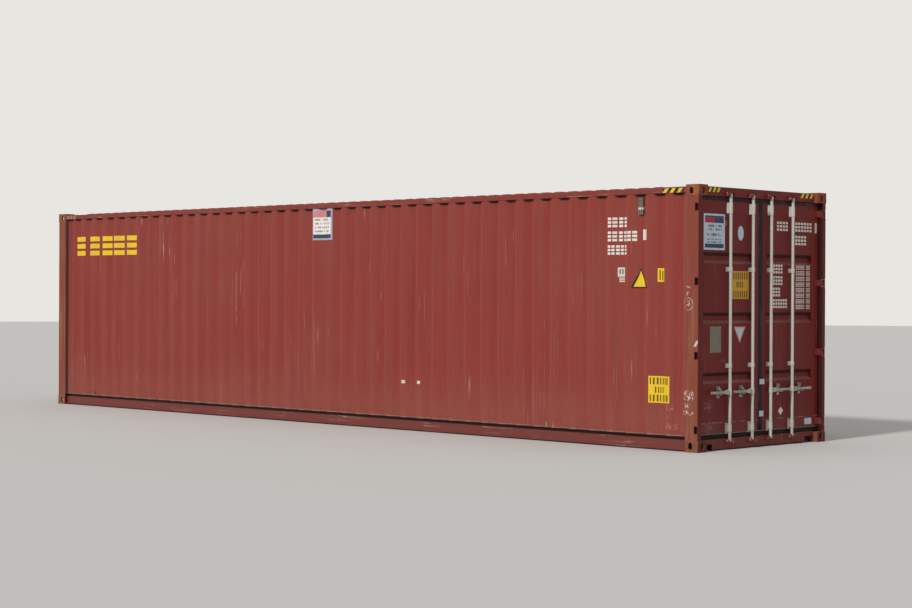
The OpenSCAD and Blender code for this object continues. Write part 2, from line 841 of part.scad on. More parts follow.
// Door leaf, made for the right-hand door
module door_frame() {
    module stile(y) {
        translate([door_x - door_d, y, door_z0]) linear_extrude(door_h) difference() {
            square([door_d, stile_w]);
            translate([door_tube_t, door_tube_t])
                square([door_d - 2 * door_tube_t, stile_w - 2 * door_tube_t]);
        }
    }
    module rail(z) {
        translate([door_x - door_d, door_y1 - stile_w, z]) rotate([90, 0, 0])
            linear_extrude(door_y1 - door_y0 - 2 * stile_w) difference() {
                square([door_d, door_rail_h]);
                translate([-cut, door_tube_t])
                    square([door_d - door_tube_t + cut, door_rail_h - 2 * door_tube_t]);
            }
    }
    color(door_paint) {
        stile(door_y0);
        stile(door_y1 - stile_w);
        rail(door_z0);
        rail(door_z1 - door_rail_h);
    }
}

// A pressed groove's tray, drawn in by the given sheet thickness
module groove_tray(half_l, sheet) {
    deep = groove_depth - sheet;
    half_h = groove_h / 2 - sheet / 2;
    flat_h = half_h - groove_depth;
    draft = groove_draft * deep / groove_depth;
    intersection() {
        rotate([90, 0, 0]) translate([0, 0, -half_l]) linear_extrude(2 * half_l)
            polygon([[0, -half_h], [0, half_h], [-deep, flat_h], [-deep, -flat_h]]);
        translate([0, 0, -half_h]) linear_extrude(2 * half_h)
            polygon([
                [0, sheet - half_l], [0, half_l - sheet],
                [-deep, half_l - sheet - draft], [-deep, sheet + draft - half_l]
            ]);
    }
}

module door_panel() {
    panel_y0 = door_y0 + stile_w;
    panel_y1 = door_y1 - stile_w;
    half_l = (panel_y1 - panel_y0) / 2 - groove_in;
    mid_y = (panel_y0 + panel_y1) / 2;
    color(door_paint) difference() {
        union() {
            translate([door_x - door_sheet_t, panel_y0, door_z0 + door_rail_h])
                cube([door_sheet_t, panel_y1 - panel_y0, door_h - 2 * door_rail_h]);
            for (z = groove_levels) translate([door_x, mid_y, z]) groove_tray(half_l, 0);
        }
        for (z = groove_levels) translate([door_x, mid_y, z]) groove_tray(half_l, door_sheet_t);
    }
}

// The gasket runs round the leaf's edge: two uprights, with a strip above and below
module door_gasket() {
    g_x = door_x - gasket_d;
    y1 = door_y1 + gasket_side_w;
    color(rubber) {
        translate([g_x, door_half_gap, door_z0]) cube([gasket_d, gasket_w, door_h]);
        translate([g_x, door_y1, door_z0]) cube([gasket_d, gasket_side_w, door_h]);
        translate([g_x, door_half_gap, door_z0 - gasket_h])
            cube([gasket_d, y1 - door_half_gap, gasket_h]);
        translate([g_x, door_half_gap, door_z1])
            cube([gasket_d, y1 - door_half_gap, gasket_top_h]);
    }
}

// A hinge blade's cranked arm passes between the post's corner and its side plate
module blade_outline() {
    seat_y = door_y1 - blade_seat;
    pin = [pin_x, pin_y];
    difference() {
        union() {
            translate(pin) circle(knuckle_r);
            polygon([
                [pin_x + crank_root[0], pin_y - crank_root[1]], pin - crank_front,
                [door_x + blade_t, door_y1 - blade_bend], [door_x + blade_t, seat_y],
                [door_x, seat_y], [door_x, door_y1], pin - crank_back, pin - crank_elbow,
                [pin_x - crank_root[0], pin_y + crank_root[1]]
            ]);
        }
        translate(pin) circle(pin_r + bar_play);
    }
}

module hinge_blades() {
    color(door_paint) for (z = hinge_levels)
        translate([0, 0, z - blade_h / 2]) linear_extrude(blade_h) blade_outline();
}

// A bracket holds a bar in a bored block on a base plate
module bracket(y, z, base_w, base_h, ring_h) {
    reach = bar_x - door_x;
    translate([door_x, y, z]) difference() {
        union() {
            translate([0, -base_w / 2, -base_h / 2]) cube([bracket_t, base_w, base_h]);
            translate([0, -collar_r, -ring_h / 2]) cube([reach, 2 * collar_r, ring_h]);
            translate([reach, 0, -ring_h / 2]) cylinder(r = collar_r, h = ring_h);
        }
        translate([reach, 0, -base_h]) cylinder(r = bar_r + bar_play, h = 2 * base_h);
    }
}

module bar_brackets() {
    half = bracket_large_h / 2;
    color(galvanised) for (y = [bar_inner_y, bar_outer_y]) {
        bracket(y, door_z0 + bracket_rise + half, bracket_w, bracket_large_h,
            bracket_large_h - 2 * bracket_foot);
        bracket(y, door_z1 - bracket_drop - half, bracket_top_w, bracket_large_h,
            bracket_large_h - 2 * bracket_top_foot);
        for (z = [groove_levels[0] + bracket_low_above, groove_levels[2] - bracket_high_below])
            bracket(y, z, bracket_w, bracket_small_h, bracket_small_h);
    }
}

// A retainer backs the handle, carries it on a ledge, and stays open to the front. Its hasp
// has an arm that slopes down behind the handle
module retainer(y) {
    handle_under = -handle_h / 2 - ledge_gap - ledge_t;
    hasp_z = handle_h / 2 + hasp_gap;
    color(galvanised) translate([door_x, y + retainer_out, handle_z]) union() {
        translate([0, -retainer_w / 2, -retainer_h / 2])
            cube([retainer_t, retainer_w, retainer_h]);
        translate([0, -retainer_w / 2, handle_under])
            cube([handle_x + handle_t - door_x, retainer_w, ledge_t]);
        translate([0, -retainer_w / 2, -stop_h / 2])
            cube([handle_x - stop_gap - door_x, retainer_w, stop_h]);
        translate([0, -hasp_w / 2, hasp_z]) cube([hasp_d, hasp_w, hasp_h]);
        translate([hasp_d - arm_t, 0, 0]) rotate([90, 0, 90]) linear_extrude(arm_t) polygon([
            [hasp_w / 2, hasp_z], [hasp_w / 2, hasp_z + hasp_h], [-hasp_w / 2, hasp_z + hasp_h],
            [-arm_reach, arm_end_h / 2], [-arm_reach, -arm_end_h / 2]
        ]);
    }
}

module handle_retainers() {
    for (y = [bar_inner_y, bar_outer_y]) retainer(y);
}

// Locking bar: a tube with a one-nosed cam at each end and a lug for the handle
module locking_bar(y) {
    module cam() {
        linear_extrude(cam_h) difference() {
            union() {
                circle(cam_body_r);
                translate([-nose_r, 0]) square([2 * nose_r, cam_reach - nose_r]);
                translate([0, cam_reach - nose_r]) circle(nose_r);
            }
            circle(bar_bore_r);
        }
    }
    color(galvanised) translate([bar_x, y, 0]) difference() {
        union() {
            translate([0, 0, bar_z0]) cylinder(r = bar_r, h = bar_z1 - bar_z0);
            translate([0, 0, bar_z0]) cam();
            translate([0, 0, bar_z1 - cam_h]) cam();
            translate([0, 0, handle_z - hub_h / 2]) cylinder(r = collar_r, h = hub_h);
            translate([-ear_t / 2, 0, handle_z - ear_r]) cube([ear_t, pivot_out, 2 * ear_r]);
            translate([-ear_t / 2, pivot_out, handle_z]) rotate([0, 90, 0])
                cylinder(r = ear_r, h = ear_t);
        }
        translate([0, 0, bar_z0 - cut]) cylinder(r = bar_bore_r, h = bar_z1 - bar_z0 + 2 * cut);
        translate([-ear_t / 2 - cut, pivot_out, handle_z]) rotate([0, 90, 0])
            cylinder(r = pivot_r + pin_fit, h = ear_t + 2 * cut);
    }
}

// Handle: a flat bar with a round tip and a tapering neck, on its pivot pin in front of the
// bar's lug
module handle(y) {
    tip_y = handle_l - tip_r;
    pin_l = ear_t + 2 * pivot_play;
    color(galvanised) translate([handle_x, y, handle_z]) union() {
        rotate([90, 0, 90]) linear_extrude(handle_t) {
            translate([pivot_out, 0]) circle(ear_r);
            translate([tip_y, 0]) circle(tip_r);
            polygon([
                [pivot_out, ear_r], [pivot_out + neck_l, handle_h / 2], [tip_y, handle_h / 2],
                [tip_y, -handle_h / 2], [pivot_out + neck_l, -handle_h / 2], [pivot_out, -ear_r]
            ]);
        }
        translate([-pin_l, pivot_out, 0]) rotate([0, 90, 0])
            cylinder(r = pivot_r, h = pin_l + cut);
    }
}

// Made for the right-hand door, seen on the left-hand one
module left() {
    mirror([0, 1, 0]) children();
}

bottom_castings();
top_castings();
front_posts();
rear_posts();
rear_post_channels();
hinge_lugs();
hinge_pins();
bottom_side_rails();
top_side_rails();
front_top_rail();
front_bottom_rail();
door_header();
door_sill();
left_side_wall();
right_side_wall();
front_wall();
roof_sheet();
roof_corner_plates();
floor_boards();
floor_strip();
cross_members();
gooseneck_tunnel();
top_cam_keepers();
bottom_cam_keepers();
side_vents();
left() door_frame();  // left_door_frame
left() door_panel();  // left_door_panel
left() door_gasket();  // left_door_gasket
left() hinge_blades();  // left_hinge_blades
left() bar_brackets();  // left_bar_brackets
left() handle_retainers();  // left_handle_retainers
door_frame();  // right_door_frame
door_panel();  // right_door_panel
door_gasket();  // right_door_gasket
hinge_blades();  // right_hinge_blades
bar_brackets();  // right_bar_brackets
handle_retainers();  // right_handle_retainers
left() locking_bar(bar_outer_y);  // left_outer_bar
left() locking_bar(bar_inner_y);  // left_inner_bar
locking_bar(bar_inner_y);  // right_inner_bar
locking_bar(bar_outer_y);  // right_outer_bar
left() handle(bar_outer_y);  // left_outer_handle
left() handle(bar_inner_y);  // left_inner_handle
handle(bar_inner_y);  // right_inner_handle
handle(bar_outer_y);  // right_outer_handle
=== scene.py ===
"""Finishes, markings and small fittings for a forty-foot shipping container, made around its
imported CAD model, with a plain studio and a camera."""

import json
import math

import bmesh
import bpy
from bpy.props import (BoolProperty, FloatProperty, FloatVectorProperty, IntProperty,
                       PointerProperty)
from mathutils import Matrix, Vector
from mathutils.bvhtree import BVHTree


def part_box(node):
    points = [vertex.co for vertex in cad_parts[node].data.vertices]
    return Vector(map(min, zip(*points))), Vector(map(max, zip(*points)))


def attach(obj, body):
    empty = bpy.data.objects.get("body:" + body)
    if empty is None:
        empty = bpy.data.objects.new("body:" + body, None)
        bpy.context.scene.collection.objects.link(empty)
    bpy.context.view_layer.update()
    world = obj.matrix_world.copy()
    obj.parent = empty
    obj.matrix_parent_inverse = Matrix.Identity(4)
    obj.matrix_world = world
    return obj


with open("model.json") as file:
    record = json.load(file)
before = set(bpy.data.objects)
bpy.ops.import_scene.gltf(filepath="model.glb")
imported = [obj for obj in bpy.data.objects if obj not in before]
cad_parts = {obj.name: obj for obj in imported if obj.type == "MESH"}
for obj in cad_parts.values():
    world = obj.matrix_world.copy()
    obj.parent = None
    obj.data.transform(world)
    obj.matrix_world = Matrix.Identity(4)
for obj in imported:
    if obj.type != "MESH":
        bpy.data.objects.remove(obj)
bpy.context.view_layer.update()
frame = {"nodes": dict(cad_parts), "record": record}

bl_info = {
    "name": "Shipping container finishes",
    "version": (1, 0, 0),
    "blender": (4, 5, 0),
    "location": "View3D > Sidebar > Container",
    "description": "Paint, markings, fasteners, welds and seals for a shipping container",
    "category": "Object",
}

NODES = frame["nodes"]
SLOT_OF = {part["node"]: part["material_slot"] for part in frame["record"]["subparts"]}
SIDES = {"left": -1, "right": 1}
OUT = Vector((1, 0, 0))
UP = Vector((0, 0, 1))

# Planes that the markings and fittings lie on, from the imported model
WALL_LOW, WALL_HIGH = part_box("left_side_wall")
WALL_FACE = abs(WALL_LOW.y)
DOOR_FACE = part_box("right_door_panel")[1].x
HEADER_LOW, HEADER_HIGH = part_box("door_header")
POST_LOW, POST_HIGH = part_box("rear_posts")
CASTING_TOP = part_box("bottom_castings")[1].z
CASTING_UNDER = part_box("top_castings")[0].z
FLOOR_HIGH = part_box("floor_boards")[1]
LEAF_LOW, LEAF_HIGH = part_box("right_door_frame")
SEAL_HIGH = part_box("right_door_gasket")[1]
STRIP_TOP = LEAF_LOW.z + 0.016
STRIP_UNDER = LEAF_HIGH.z - 0.008

# Small lengths: how close a CAD mesh's loose corners are, and the relief that a height of 1 gives
MERGE = 0.00002
RELIEF = 0.001

# Where the finishes change along one axis: (start, end), or (bottom, top) of a band
WAVE_STEP = (WALL_FACE - 0.022, WALL_FACE - 0.006)
WALL_LIP = (WALL_LOW.z + 0.018, WALL_LOW.z + 0.008)
# The next three bands carry painted shade: under the top rail, under the wall's bottom edge and
# beside the front post
UNDER_TOP_RAIL = (WALL_HIGH.z - 0.034, WALL_HIGH.z - 0.022)
UNDER_WALL = (WALL_LOW.z - 0.040, WALL_LOW.z + 0.020)
BESIDE_FRONT_POST = (WALL_LOW.x + 0.048, WALL_LOW.x + 0.038)
BESIDE_REAR_POST = (5.864, 5.872)
POST_TO_END = (6.01, 6.05)
LEFT_ONLY = (-0.5, -1.0)
LOW_RAILS = (0.30, 0.18)
HIGH_RAILS = (2.74, 2.80)
LOW_KEEPERS = (0.30, 0.10)
LOW_CASTINGS = (1.5, 1.0)
HINGE_STILE = (1.02, 1.06)
# Where the hinge blades pass into the posts, which carries painted shade
LEAF_EDGE = (1.165, 1.175)
LEAF_BACK = (DOOR_FACE, DOOR_FACE - 0.004)
DOOR_SEAM = (0.300, 0.306)
# The next two bands carry painted shade low on the seals and a painted highlight on the strip's
# top rim
LOW_SEALS = (0.30, 0.20)
SEAL_RIM = (STRIP_TOP - 0.005, STRIP_TOP + 0.001)
VENT_PATCH = (2.642, 2.668)

# Chalk scuffs beside the rear posts and on the left one: (low x, high x, bottom, top)
WALL_CHALK = ((5.655, 5.747, 0.44, 0.51), (5.655, 5.71, 0.34, 0.39), (5.64, 5.787, 0.235, 0.305))
POST_CHALK = ((5.885, 6.03, 0.565, 0.66), (5.90, 5.98, 0.485, 0.53), (5.875, 6.03, 0.405, 0.46),
              (5.925, 5.975, 1.565, 1.64), (5.93, 5.97, 1.70, 1.73), (5.90, 5.985, 1.775, 1.795))
# Faint chalk on the left door: (low y, high y, bottom, top)
DOOR_CHALK = ((-1.02, -0.86, 0.43, 0.56), (-1.0, -0.82, 0.2, 0.32), (-0.72, -0.62, 0.96, 1.0))
# A worn ring on the post: its centre's x and z, its radius
RING = (5.950, 1.602, 0.067)
# A slanting knock on the left rear post: (low, high, bottom, top), with low and high as x less
# the slant, which is the knock's run in x for each metre up
KNOCK = (5.345, 5.375, 1.145, 1.205)
KNOCK_SLANT = 0.6


def shade(red, green, blue):
    """A linear colour from its screen values of 0 to 255"""
    def linear(value):
        value /= 255
        return value / 12.92 if value <= 0.04045 else ((value + 0.055) / 1.055) ** 2.4
    return tuple(linear(value) for value in (red, green, blue))


def blend(first, share, second=(0, 0, 0), other=0):
    """A share of the first colour and another of the second; with one colour, a darker or paler
    tone of it"""
    return tuple(share * a + other * b for a, b in zip(first, second))


def colour_property(name, description, screen):
    """A colour setting whose default is given as screen values"""
    return FloatVectorProperty(name=name, description=description, subtype="COLOR", size=3,
                               min=0, max=1, default=shade(*screen))


def length_property(name, description, default):
    """A length setting in metres"""
    return FloatProperty(name=name, description=description, unit="LENGTH", min=0,
                         default=default)


def share_property(name, description, default, low=0, high=1):
    """A setting from 0 to 1, or between narrower bounds"""
    return FloatProperty(name=name, description=description, subtype="FACTOR", min=low,
                         max=high, default=default)


def angle_property(name, description, degrees):
    """An angle setting whose default is given in degrees"""
    return FloatProperty(name=name, description=description, subtype="ANGLE",
                         default=math.radians(degrees))


def strength_property(name, description, default):
    """A light's strength"""
    return FloatProperty(name=name, description=description, min=0, default=default)


class PaintSettings(bpy.types.PropertyGroup):
    """Colours and wear of the container's surfaces"""

    wall: colour_property("Wall paint", "Paint of the side walls, roof and rails", (136, 52, 44))
    wall_faded: colour_property("Faded paint", "Paint where sun and rain bleached it",
                                (139, 70, 59))
    # The door paint is darker than the wall paint, in part a painted shade of the door end
    door: colour_property("Door paint", "Paint of the doors, header and sill", (114, 36, 35))
    corner: colour_property("Corner paint", "Paint of the posts and castings", (131, 66, 52))
    corner_bare: colour_property("Worn corner", "Castings where handling wore the paint",
                                 (152, 100, 68))
    corner_streak: colour_property("Post streaks", "Yellowish rain streaks on the posts",
                                   (146, 112, 78))
    inside: colour_property("Inside paint", "Pale paint on the inner faces", (176, 176, 168))
    rust: colour_property("Rust", "Colour of fresh rust", (104, 52, 30))
    rust_dark: colour_property("Dark rust", "Colour of old rust", (58, 34, 26))
    dust: colour_property("Dust", "Road dust on the lower parts", (160, 132, 112))
    # Real soot and dirt on the sheets; also used as painted shade on the sunlit faces of the right
    # hinge blades
    grime_and_shade: colour_property("Grime and shade", "Soot and dirt washed down the sheets, and painted shade on the hinge blades", (92, 44, 38))
    scrape: colour_property("Scrape", "Primer that scrapes and rubs uncovered", (196, 158, 142))
    chalk: colour_property("Chalk", "Chalk scuffs", (214, 200, 190))
    galvanised: colour_property("Galvanised steel", "Zinc of the locking gear", (197, 195, 186))
    galvanised_dull: colour_property("Dull zinc", "Weathered zinc", (176, 172, 158))
    # Painted shade: a dark red laid where shade falls in grooves, recesses, corners and on
    # undersides; it also tints dark ink dashes and the seals
    shade_and_dark_tint: colour_property("Painted shade and dark tint", "Painted shade in grooves, corners and undersides, and a dark tint for ink and rubber",
                                (46, 18, 17))
    # Painted shade: near black, laid in deep recesses and gaps, under the walls' bottom edge, on
    # undersides and low on the seals
    deep_painted_shade: colour_property("Deep painted shade", "Near-black painted shade where light hardly reaches", (26, 12, 12))
    rubber: colour_property("Rubber", "Door seals", (60, 54, 56))
    plywood: colour_property("Plywood", "Floor boards", (150, 112, 76))
    plywood_dark: colour_property("Plywood grain", "Darker grain and tyre marks", (92, 68, 48))
    vent: colour_property("Vent", "Moulded vents", (104, 99, 78))
    vent_patch: FloatVectorProperty(name="Vent patch", description="Pale patch on the vents",
                                    subtype="COLOR", size=3, min=0, max=1,
                                    default=(0.7, 0.68, 0.62))
    fade: share_property("Fade", "How far the wall paint has bleached", 0.55)
    rusting: share_property("Rusting", "How much rust shows", 0.4)


class EdgeSettings(bpy.types.PropertyGroup):
    """Rounding of the CAD parts' edges"""

    sheet_bend: length_property("Sheet bend", "Width of the bends in the pressed sheets", 0.016)
    casting_edge: length_property("Casting edge", "Rounding of the castings", 0.005)
    plate_edge: length_property("Plate edge", "Rounding of posts, rails and frames", 0.002)
    gear_edge: length_property("Gear edge", "Rounding of the locking gear", 0.0015)
    segments: IntProperty(name="Segments", description="Faces across a rounded edge", min=1,
                          max=6, default=2)


class MarkSettings(bpy.types.PropertyGroup):
    """Colours and sizes of the markings"""

    film: length_property("Film", "Thickness of a marking film", 0.0006)
    lift: length_property("Lift", "Distance of a film's back from the wall", 0.0004)
    bar_share: share_property("Bar share", "Share of a block's height in one bar", 0.25, 0.05,
                              0.33)
    block_gap: share_property("Block gap", "Share of a block's room left bare", 0.26, high=0.6)
    white: colour_property("White marks", "Painted blocks and labels", (232, 224, 216))
    label: colour_property("Labels", "Greyish small labels", (212, 204, 190))
    yellow: colour_property("Yellow marks", "Yellow blocks, panels and stripes", (234, 196, 42))
    yellow_worn: colour_property("Yellow on the doors", "Darker yellow of the doors' panel",
                                 (212, 164, 40))
    dark: colour_property("Dark marks", "Borders and bands", (40, 30, 28))
    blue: colour_property("Sign bands", "Dark bands and rules of the signs", (58, 68, 92))
    sky: colour_property("Sign ground", "Pale ground of the door sign and labels", (206, 220, 234))
    frame: colour_property("Sign frame", "Border of the side sign", (172, 166, 184))
    red: colour_property("Red band", "Red part of a sign's band", (190, 40, 62))
    steel: colour_property("Data plate", "Metal of the blank data plate", (124, 122, 108))
    relief: BoolProperty(name="Rivets", description="Add rivets to the data plate", default=True)


class FastenerSettings(bpy.types.PropertyGroup):
    """Bolts, welds and seals"""

    bolt_r: length_property("Bolt radius", "Radius of the large bolts' heads", 0.0085)
    small_bolt_r: length_property("Small bolt radius", "Radius of the small bolts' heads", 0.005)
    bolt_h: length_property("Bolt height", "Height of a bolt's head", 0.006)
    washer_t: length_property("Washer", "Thickness of a washer", 0.0015)
    bolt_inset: length_property("Bolt inset", "Distance of a bolt from a plate's edge", 0.011)
    bead_r: length_property("Weld bead", "Radius of a weld bead", 0.0045)
    lip_t: length_property("Seal lip", "Thickness of a seal's lip", 0.002)
    lip_reach: length_property("Lip reach", "Reach of a lip from its seal", 0.0035)
    strip_t: length_property("Seal strip", "Thickness of the strips over the seals", 0.0025)
    screw_r: length_property("Floor screw", "Radius of a floor screw's head", 0.007)
    screw_pitch: length_property("Screw pitch", "Distance between floor screws", 0.15)


class StudioSettings(bpy.types.PropertyGroup):
    """Camera, lights and floor"""

    place: FloatVectorProperty(name="Camera place", description="Where the camera stands",
                               subtype="XYZ", unit="LENGTH", size=3,
                               default=(18.4005, -17.4260, 1.6827))
    heading: angle_property("Heading", "Camera's turn about the upright", 44.562)
    tilt: angle_property("Tilt", "Camera's slope above the horizon", -0.26)
    roll: angle_property("Roll", "Camera's turn about its view", 0.2741)
    lens: FloatProperty(name="Lens", description="Focal length", subtype="DISTANCE_CAMERA",
                        default=74.13)
    sensor: FloatProperty(name="Sensor", description="Width of the sensor",
                          subtype="DISTANCE_CAMERA", default=36)
    sun_from: FloatVectorProperty(name="Key light from", description="Direction of the key light",
                                  subtype="DIRECTION", size=3, default=(0.08, -0.81, 0.58))
    sun_strength: strength_property("Key light", "Strength of the key light", 2.25)
    sun_angle: angle_property("Key softness", "Spread of the key light", 7)
    sky_strength: strength_property("Sky", "Strength of the even light", 0.36)
    fill_strength: strength_property("Overhead light", "Strength of a broad light from above",
                                     0.5)
    fill_angle: angle_property("Overhead softness", "Spread of the light from above", 70)
    sky: colour_property("Sky light", "Colour of the even light", (250, 250, 252))
    backdrop: colour_property("Backdrop", "Pale colour behind the container", (232, 230, 225))
    floor: colour_property("Floor", "Pale floor", (200, 198, 194))
    floor_r: length_property("Floor radius", "Radius of the floor", 90.0)


SETTINGS = {
    "container_paint": PaintSettings,
    "container_edges": EdgeSettings,
    "container_marks": MarkSettings,
    "container_fasteners": FastenerSettings,
    "container_studio": StudioSettings,
}


def add_node(tree, kind, settings=None, inputs=None):
    """Adds a node: its settings first, then the values or links of its sockets"""
    made = tree.nodes.new(kind)
    for key, value in (settings or {}).items():
        setattr(made, key, value)
    for key, value in (inputs or {}).items():
        if isinstance(value, Value):
            value = value.socket
        if isinstance(value, bpy.types.NodeSocket):
            tree.links.new(value, made.inputs[key])
        else:
            made.inputs[key].default_value = value
    return made


class Value:
    """A shader socket that can be added, multiplied and compared like a number"""

    def __init__(self, finish, socket):
        self.finish = finish
        self.socket = socket

    def maths(self, operation, first, second=0.0):
        return self.finish.maths(operation, first, second)

    def __add__(self, other):
        return self.maths("ADD", self, other)

    __radd__ = __add__

    def __sub__(self, other):
        return self.maths("SUBTRACT", self, other)

    def __rsub__(self, other):
        return self.maths("SUBTRACT", other, self)

    def __mul__(self, other):
        return self.maths("MULTIPLY", self, other)

    __rmul__ = __mul__

    def __mod__(self, other):
        return self.maths("FLOORED_MODULO", self, other)

    def __abs__(self):
        return self.maths("ABSOLUTE", self)

    def most(self, other):
        """The larger of two values"""
        return self.maths("MAXIMUM", self, other)

    def rise(self, low, high):
        """0 at low and 1 at high, smooth between them and level beyond"""
        return self.finish.node("ShaderNodeMapRange", {"interpolation_type": "SMOOTHSTEP"},
                                {"Value": self, "From Min": low, "From Max": high})

    def within(self, low, high, soft=0.002):
        """1 between low and high, 0 outside"""
        return self.rise(low - soft, low + soft) * self.rise(high + soft, high - soft)


class Finish:
    """A material written as expressions on its surface's own coordinates; tone is its colour so
    far, and weather adds near, how close to the ground a place is, and grit, a fine grain"""

    def __init__(self, name, paint, tone, specular=0.16):
        self.material = bpy.data.materials.new(name)
        self.material.use_nodes = True
        self.tree = self.material.node_tree
        self.shader = next(n for n in self.tree.nodes if n.type == "BSDF_PRINCIPLED")
        self.shader.inputs["Specular IOR Level"].default_value = specular
        self.place = self.node("ShaderNodeTexCoord", output="Object")
        self.x, self.y, self.z = (self.axis(self.place, letter) for letter in "XYZ")
        self.paint = paint
        self.tone = tone

    def node(self, kind, settings=None, inputs=None, output=0):
        return Value(self, add_node(self.tree, kind, settings, inputs).outputs[output])

    def maths(self, operation, first, second=0.0):
        return self.node("ShaderNodeMath", {"operation": operation}, {0: first, 1: second})

    def axis(self, vector, name):
        return self.node("ShaderNodeSeparateXYZ", inputs={"Vector": vector}, output=name)

    def facing(self, axis):
        """The surface's own direction along an axis, from -1 to 1"""
        return self.axis(self.node("ShaderNodeTexCoord", output="Normal"), axis)

    def noise(self, scale, stretch=(1, 1, 1), detail=3, rough=0.5, shift=0):
        """Cloudy noise about 0.5; a small stretch value draws it out along that axis"""
        spread = self.node("ShaderNodeMapping", {"vector_type": "POINT"},
                           {"Vector": self.place, "Scale": stretch,
                            "Location": (shift, shift, shift)})
        return self.node("ShaderNodeTexNoise", {"noise_dimensions": "3D"},
                         {"Vector": spread, "Scale": scale, "Detail": detail,
                          "Roughness": rough})

    def cells(self, scale):
        """A flat random value in each cell of a crystal pattern"""
        cell = self.node("ShaderNodeTexVoronoi", {"feature": "F1"},
                         {"Vector": self.place, "Scale": scale}, output="Color")
        return self.node("ShaderNodeSeparateColor", inputs={"Color": cell}, output="Red")

    def mix(self, factor, first, second):
        """A colour that goes from first to second"""
        def colour(value):
            return value if isinstance(value, Value) else (*value, 1)
        return self.node("ShaderNodeMix", {"data_type": "RGBA"},
                         {0: factor, 6: colour(first), 7: colour(second)}, output=2)

    def tint(self, amount, colour):
        """Takes the tone towards a colour by an amount"""
        self.tone = self.mix(amount, self.tone, colour)

    def inside(self, across, area, soft=0.002):
        """1 in an area (low, high, bottom, top) whose low and high are values of across"""
        low, high, bottom, top = area
        return across.within(low, high, soft) * self.z.within(bottom, top, soft)

    def weather(self, faded, fade=1.0, dust_top=0.9):
        """Bleached clouds, rain runs, grime and road dust on painted steel"""
        clouds = self.noise(0.55, shift=1.3)
        runs = self.noise(11, stretch=(1, 1, 0.05), shift=2.2)
        self.grit = self.noise(85, rough=0.6)
        bleached = (clouds * 0.55 + runs * 0.45).rise(0.40, 0.64)
        self.tint(bleached * self.paint.fade * fade, faded)
        washed = self.noise(5.5, stretch=(1, 1, 0.07), detail=4, shift=5.4)
        self.tint(washed.rise(0.54, 0.78) * 0.35, self.paint.grime_and_shade)
        self.near = self.z.rise(dust_top, 0.05)
        self.tint(self.near * self.grit.rise(0.35, 0.75) * 0.32, self.paint.dust)

    def rusted(self, near, scale=12):
        """Spots of rust of two ages, more of them where near is high; returns the spots"""
        field = self.noise(scale, detail=6, rough=0.62, shift=3.1) + near * 0.09
        start = 0.78 - 0.08 * self.paint.rusting
        spots = field.rise(start, start + 0.03)
        age = self.noise(45, detail=4, shift=7.7).rise(0.4, 0.6)
        self.tint(spots, self.mix(age, self.paint.rust, self.paint.rust_dark))
        return spots

    def rubbed(self, amount, colour, patch_scale=1.6, width=0.009):
        """Thin upright rub marks in loose patches"""
        line = abs(self.noise(15, stretch=(1, 1, 0.014), detail=1, shift=9.2) - 0.5)
        patch = self.noise(patch_scale, stretch=(1, 1, 0.5), shift=4.4)
        broken = self.noise(40, stretch=(1, 1, 0.08), shift=6.5)
        marks = line.rise(width, width * 0.3) * patch.rise(0.54, 0.62) * broken.rise(0.42, 0.58)
        self.tint(marks * amount, colour)

    def scribble(self, across, area, scale, width=1.0):
        """Meaningless chalk loops inside an area (low, high, bottom, top)"""
        low, high, bottom, top = area
        loops = abs(self.noise(scale, detail=2.5, rough=0.6, shift=low) - 0.5)
        patch = across.within(low, high, 0.01) * self.z.within(bottom, top, 0.015)
        gaps = self.noise(9, detail=2, shift=high).rise(0.32, 0.42)
        return loops.rise(0.030 * width, 0.012 * width) * patch * gaps

    def chalked(self):
        """Chalk scuffs and a worn ring across the left rear post and the wall beside it"""
        outside = self.facing("Y").rise(-0.3, -0.6) * self.y.rise(*LEFT_ONLY)
        for area in POST_CHALK:
            self.tint(self.scribble(self.x, area, 26, 1.5) * outside, self.paint.chalk)
        middle_x, middle_z, radius = RING
        across, up = self.x - middle_x, self.z - middle_z
        far = self.maths("SQRT", across * across + up * up)
        ring = abs(far - radius).rise(0.007, 0.002) * self.noise(24, shift=0.4).rise(0.38, 0.52)
        self.tint(ring * outside * 0.55, self.paint.chalk)

    def pale_inside(self, inward):
        """Paler paint on the faces that look into the container; inward is how far they do"""
        stains = self.noise(2.4, detail=5, rough=0.6, shift=8.1)
        pale = self.mix(stains.rise(0.45, 0.75) * 0.45, self.paint.inside, self.paint.dust)
        scuffs = abs(self.noise(4, stretch=(0.2, 0.2, 3), shift=2.9) - 0.5)
        pale = self.mix(scuffs.rise(0.012, 0.004) * 0.5, pale, self.paint.grime_and_shade)
        self.tint(inward.rise(0.15, 0.3), pale)

    def streaked(self, amount):
        """The posts' paint with thin yellowish rain streaks, redder towards the door end"""
        blotch = self.noise(24, stretch=(1, 1, 0.04), detail=4, shift=6.6).rise(0.46, 0.66)
        cloud = self.noise(1.6, shift=3.7).rise(0.35, 0.65)
        redder = 1 - 0.65 * self.x.rise(*POST_TO_END)
        self.tint(amount, self.mix(blotch * (0.25 + 0.5 * cloud) * redder, self.paint.corner,
                                   self.paint.corner_streak))

    def made(self, roughness, metallic=None, height=None):
        """Links the surface's colour, roughness and metal, and its height as relief"""
        if height is not None:
            height = self.node("ShaderNodeBump", inputs={"Strength": 1.0, "Distance": RELIEF,
                                                         "Height": height})
        for key, value in (("Base Color", self.tone), ("Roughness", roughness),
                           ("Metallic", metallic), ("Normal", height)):
            if value is not None:
                self.tree.links.new(value.socket, self.shader.inputs[key])
        return self.material


